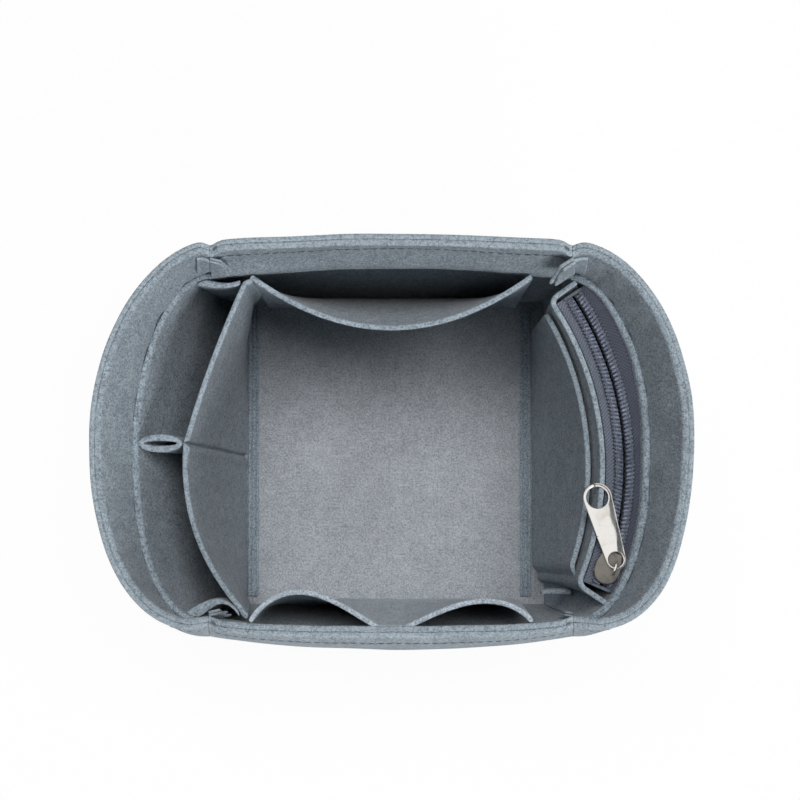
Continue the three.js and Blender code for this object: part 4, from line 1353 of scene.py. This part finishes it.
RIM_STEPS = (0.24, 0.1, 0.0)
RIM_MARGIN, ROOMY = 0.4, 1.6
LIP_HIGH, LIP_AT, LIP_WIDE = 0.1, 0.45, 0.35
TAB_ROUND, TAB_ROUND_SHARE, TAB_CROWN = 0.4, 0.9, 0.26
BEVEL_SLOPE, BEVEL_WIDE, BEVEL_WAVE, BEVEL_TURN = 0.45, 1.9, 0.3, 0.6


def curve_points(a, b, c, d, count):
    return [a * (1 - t) ** 3 + b * 3 * t * (1 - t) ** 2 + c * 3 * t * t * (1 - t) + d * t ** 3
            for t in shares(count)[:-1]]


def shield_outline():
    half, tail, nose = SLIDER_WIDE / 2, SLIDER_TAIL_WIDE / 2, SLIDER_NOSE
    end = [plane(SLIDER_TAIL, lerp(-tail, tail, t)) for t in shares(10)[:-1]]
    flank = curve_points(plane(SLIDER_TAIL, tail), plane(SLIDER_TAIL * 0.55, tail),
                         plane(SLIDER_TAIL * 0.3, half), plane(0, half), 12)
    cheek = curve_points(plane(0, half), plane(-nose / 2, half), plane(-nose, half * 0.8), plane(-nose, 0), 16)
    other = reversed(flank + cheek[1:] + [plane(-nose, 0)])
    return end + flank + cheek + [plane(p.x, -p.y) for p in other]


def crowned_plate(outline, foot, thick, crown, edge):
    """A plate over an outline, thicker in its middle and rounded at its edge."""
    top = foot + thick
    profile = [(share, top + crown * (1 - share ** 2) - crown) for share in (0.02, 0.3, 0.55, 0.75, 0.88)]
    for t in shares(5):
        a = math.pi / 2 * t
        profile.append((0.9 + 0.1 * math.sin(a), top - crown * 0.8 - edge * (1 - math.cos(a))))
    profile += [(1.0, foot + edge * 0.6), (0.97, foot), (0.02, foot)]
    centre = sum(outline, plane(0, 0)) / len(outline)
    return lofted([[raised(centre.lerp(p, share), z) for p in outline] for share, z in profile])


def soft_block(long, wide, high, x, y, z, rounding=0.15):
    outline = []
    for cx, cy, start in ((1, 1, 0), (-1, 1, 90), (-1, -1, 180), (1, -1, 270)):
        centre = plane(x + cx * (long / 2 - rounding), y + cy * (wide / 2 - rounding))
        outline += [centre + polar(math.radians(start + 22.5 * k), rounding) for k in range(5)]
    return crowned_plate(outline, z - high / 2, high, 0.0, min(rounding, high / 3))


def slider_bodies():
    outline = shield_outline()
    half_nose = SLIDER_NOSE / 2
    neck_high = PLATE_FOOT - LOWER_FOOT + NECK_MORE
    return [
        crowned_plate(outline, PLATE_FOOT, SLIDER_PLATE, PLATE_CROWN, PLATE_EDGE),
        crowned_plate(outline, LOWER_FOOT, SLIDER_PLATE, 0.0, LOWER_EDGE),
        soft_block(half_nose, SLIDER_NECK, neck_high, half_nose - SLIDER_NOSE, 0,
                   LOWER_FOOT + NECK_INTO + neck_high / 2),
        *(soft_block(half_nose, CHEEK_THICK, CHEEK_HIGH, -half_nose / 2,
                     hand * (SLIDER_WIDE - CHEEK_THICK) / 2, PLATE_FOOT - CHEEK_DOWN) for hand in (-1, 1)),
    ]


def bail_body():
    """An arch of wire, thicker where it stands on the slider."""
    leg = PIVOT_HEIGHT - PLATE_TOP
    whole = 2 * leg + math.pi * BAIL_RADIUS
    path = []
    for t in shares(BAIL_STEPS):
        run = whole * t
        if run < leg:
            path.append(Vector((BAIL_RADIUS, 0, PLATE_TOP - BAIL_SINK + run)))
        elif run > whole - leg:
            path.append(Vector((-BAIL_RADIUS, 0, PLATE_TOP - BAIL_SINK + whole - run)))
        else:
            arc = polar((run - leg) / BAIL_RADIUS, BAIL_RADIUS)
            path.append(Vector((arc.x, 0, PIVOT_HEIGHT + arc.y)))
    aside = Vector((0, 1, 0))
    angles = [2 * math.pi * t for t in shares(BAIL_SIDES)[:-1]]
    rings = []
    for k, p in enumerate(path):
        along = (path[min(k + 1, BAIL_STEPS)] - path[max(k - 1, 0)]).normalized()
        foot = max(1 - min(k, BAIL_STEPS - k) / BAIL_FOOT_STEPS, 0)
        broad = aside * (BAIL_WIRE * lerp(*BAIL_BROAD, foot))
        thin = aside.cross(along) * (BAIL_WIRE * lerp(*BAIL_THIN, foot))
        rings.append([p + broad * math.cos(a) + thin * math.sin(a) for a in angles])
    return lofted(rings)


def tab_half_width(x):
    """Half the width of the tab's straight flanks at a distance from its eye."""
    return lerp(PULL_EYE, PULL_RING, x / PULL_LONG)


def to_tab_rim(p):
    """Distance from a point on the tab to its outer edge."""
    if 0 <= p.x <= PULL_LONG:
        return max(tab_half_width(p.x) - abs(p.y), 0)
    outer, end = (PULL_EYE, 0) if p.x < 0 else (PULL_RING, PULL_LONG)
    return max(outer - (p - plane(end, 0)).length, 0)


def tab_half_thickness(p, to_hole, upper):
    """Half the tab at a point; its upper face falls away to the wall side in a wavy bevel."""
    to_rim = to_tab_rim(p)
    half = PULL_THICK / 2 + LIP_HIGH * bell(to_hole - LIP_AT, LIP_WIDE)
    half -= TAB_ROUND_SHARE * (rounded_off(TAB_ROUND, to_hole) + rounded_off(TAB_ROUND, to_rim))
    if upper:
        half -= TAB_CROWN * (p.y / PULL_RING) ** 2
        if p.y < 0:
            half -= BEVEL_SLOPE * max(BEVEL_WIDE + BEVEL_WAVE * math.sin(BEVEL_TURN * p.x) - to_rim, 0)
    return half


def tab_row(centre, hole, p):
    """Points from a hole's edge out to a point of the tab's outline, close together at both edges."""
    ray = (p - centre).normalized()
    start = centre + ray * hole
    span = (p - start).length
    near = [d for d in HOLE_STEPS if d < span * 0.55]
    roomy = span > ROOMY
    rest = [lerp(near[-1], span - RIM_MARGIN if roomy else span, t) for t in shares(8)[1:]]
    if roomy:
        rest += [span - d for d in RIM_STEPS]
    while len(near) + len(rest) < PULL_STATIONS:
        rest.insert(0, lerp(near[-1], rest[0], 0.5))
    return [start + ray * d for d in near + rest]


def pull_body():
    """Tapered tab with two holes, a crowned face and a raised lip round each hole."""
    cut_half = tab_half_width(PULL_CUT)
    cut = [plane(PULL_CUT, lerp(-cut_half, cut_half, t)) for t in shares(12)]
    flank = math.acos((PULL_RING - PULL_EYE) / PULL_LONG)
    points, faces, index = [], [], {}

    def add(p, z):
        key = (round(p.x, 4), round(p.y, 4), round(z, 4))
        if key not in index:
            index[key] = len(points)
            points.append(raised(p, z))
        return index[key]

    def add_face(face, flip):
        if len(set(face)) == 4:
            faces.append(face[::-1] if flip else face)

    for x, outer, hole, first, last, seam in (
            (PULL_LONG, PULL_RING, PULL_RING_HOLE, flank - math.pi, math.pi - flank, cut[::-1]),
            (0.0, PULL_EYE, PULL_EYE_HOLE, math.pi - flank, math.pi + flank, cut)):
        centre = plane(x, 0)
        arc = [centre + polar(lerp(first, last, t), outer) for t in shares(40)]
        between = shares(8)[1:-1]
        loop = (arc + [arc[-1].lerp(seam[0], t) for t in between]
                + seam + [seam[-1].lerp(arc[0], t) for t in between])
        rows = [tab_row(centre, hole, p) for p in loop]
        pairs = [(k, (k + 1) % len(rows)) for k in range(len(rows))]
        upper, lower = ([[add(p, sign * tab_half_thickness(p, max((p - centre).length - hole, 0), sign > 0))
                          for p in row] for row in rows] for sign in (1, -1))
        for ids, flip in ((upper, True), (lower, False)):
            for k, k2 in pairs:
                for j in range(PULL_STATIONS - 1):
                    add_face((ids[k][j], ids[k2][j], ids[k2][j + 1], ids[k][j + 1]), flip)
        for k, k2 in pairs:
            for j in (0, PULL_STATIONS - 1):
                if any(abs(rows[i][j].x - PULL_CUT) >= 1e-6 for i in (k, k2)):
                    add_face((upper[k][j], upper[k2][j], lower[k2][j], lower[k][j]), j > 0)
    return points, faces


hard_piece("zip_slider_body", slider_bodies(), DARK_NICKEL, ["zip_slider"], "slider", SLIDER_FRAME)
hard_piece("zip_bail_arch", [bail_body()], NICKEL, ["zip_bail"], "slider", BAIL_FRAME)
hard_piece("zip_pull_plate", [pull_body()], NICKEL, ["zip_pull_tab"], "pull", PULL_FRAME)


# Floor, light and camera

AMBIENT = 0.085
FLOOR_HALF, FLOOR_LEVEL = 3, -0.0003
FLOOR_GREY, FLOOR_GLOW = 0.86, 0.95
SENSOR = 36.0
FOCAL_PIXELS, PHOTO_PIXELS = 2608, 800
CAMERA_PLACE, CAMERA_TILT = (2.76, -27.3, 930.0), math.radians(2.85)
SOFT_BOX_PLACE, SOFT_BOX_SIZE, SOFT_BOX_POWER = (0.28, 0.72, 3.98), (2.75, 1.38), 130.0
FRONT_LIGHT_WAY, FRONT_LIGHT_WIDE, FRONT_LIGHT_POWER = (-0.45, 0.85, -0.4), math.radians(40), 1.7


def seen_directly(tree):
    """1 for what is seen, also in the metal, and 0 for the light that falls on things."""
    paths = tree.nodes.new("ShaderNodeLightPath").outputs
    seen = calc(tree, "MAXIMUM", paths["Is Camera Ray"], paths["Is Glossy Ray"])
    return calc(tree, "MAXIMUM", seen, paths["Is Transmission Ray"])


def lit_world():
    world = bpy.data.worlds.new("soft_room")
    bpy.context.scene.world = world
    world.use_nodes = True
    tree = world.node_tree
    backdrop = tree.nodes["Background"].inputs
    backdrop["Color"].default_value = (1, 1, 1, 1)
    feed(tree, backdrop["Strength"], spread(tree, seen_directly(tree), 0, 1, AMBIENT, 1.0))


def pale_floor():
    mesh = bpy.data.meshes.new("pale_floor")
    corners = ((-1, -1), (1, -1), (1, 1), (-1, 1))
    mesh.from_pydata([(x * FLOOR_HALF, y * FLOOR_HALF, FLOOR_LEVEL) for x, y in corners], [], [(0, 1, 2, 3)])
    material = bpy.data.materials.new("pale_floor")
    material.use_nodes = True
    tree = material.node_tree
    shader = tree.nodes["Principled BSDF"]
    shader.inputs["Base Color"].default_value = (FLOOR_GREY, FLOOR_GREY, FLOOR_GREY, 1)
    shader.inputs["Roughness"].default_value = 1.0
    shader.inputs["Specular IOR Level"].default_value = 0.0
    glow = add_node(tree, "Emission", {})[0]
    share = calc(tree, "MULTIPLY", seen_directly(tree), FLOOR_GLOW)
    mixed = add_node(tree, "MixShader", {0: share, 1: shader.outputs[0], 2: glow})[0]
    tree.links.new(mixed, tree.nodes["Material Output"].inputs["Surface"])
    mesh.materials.append(material)
    add_to_scene("pale_floor", mesh)


def aimed_light(name, kind, energy, towards):
    lamp = bpy.data.lights.new(name, kind)
    lamp.energy = energy
    light = add_to_scene(name, lamp)
    light.rotation_euler = Vector(towards).to_track_quat("-Z", "Y").to_euler()
    return light


def soft_box():
    """Broad overhead light, a little to the back, that leaves the floor under the back pocket in shade."""
    place = Vector(SOFT_BOX_PLACE)
    box = aimed_light("overhead_soft_box", "AREA", SOFT_BOX_POWER, -place)
    box.data.shape = "RECTANGLE"
    box.data.size, box.data.size_y = SOFT_BOX_SIZE
    box.location = place
    box.visible_glossy = False


def photo_camera():
    camera = bpy.data.cameras.new("overhead_camera")
    camera.sensor_width = SENSOR
    camera.lens = SENSOR * FOCAL_PIXELS / PHOTO_PIXELS
    camera.clip_end = 20
    eye = add_to_scene("overhead_camera", camera)
    eye.location = Vector(CAMERA_PLACE) * MM
    eye.rotation_euler = (CAMERA_TILT, 0, 0)
    bpy.context.scene.camera = eye


lit_world()
pale_floor()
soft_box()
aimed_light("front_light", "SUN", FRONT_LIGHT_POWER, FRONT_LIGHT_WAY).data.angle = FRONT_LIGHT_WIDE
photo_camera()
bpy.context.scene.view_settings.view_transform = "Standard"
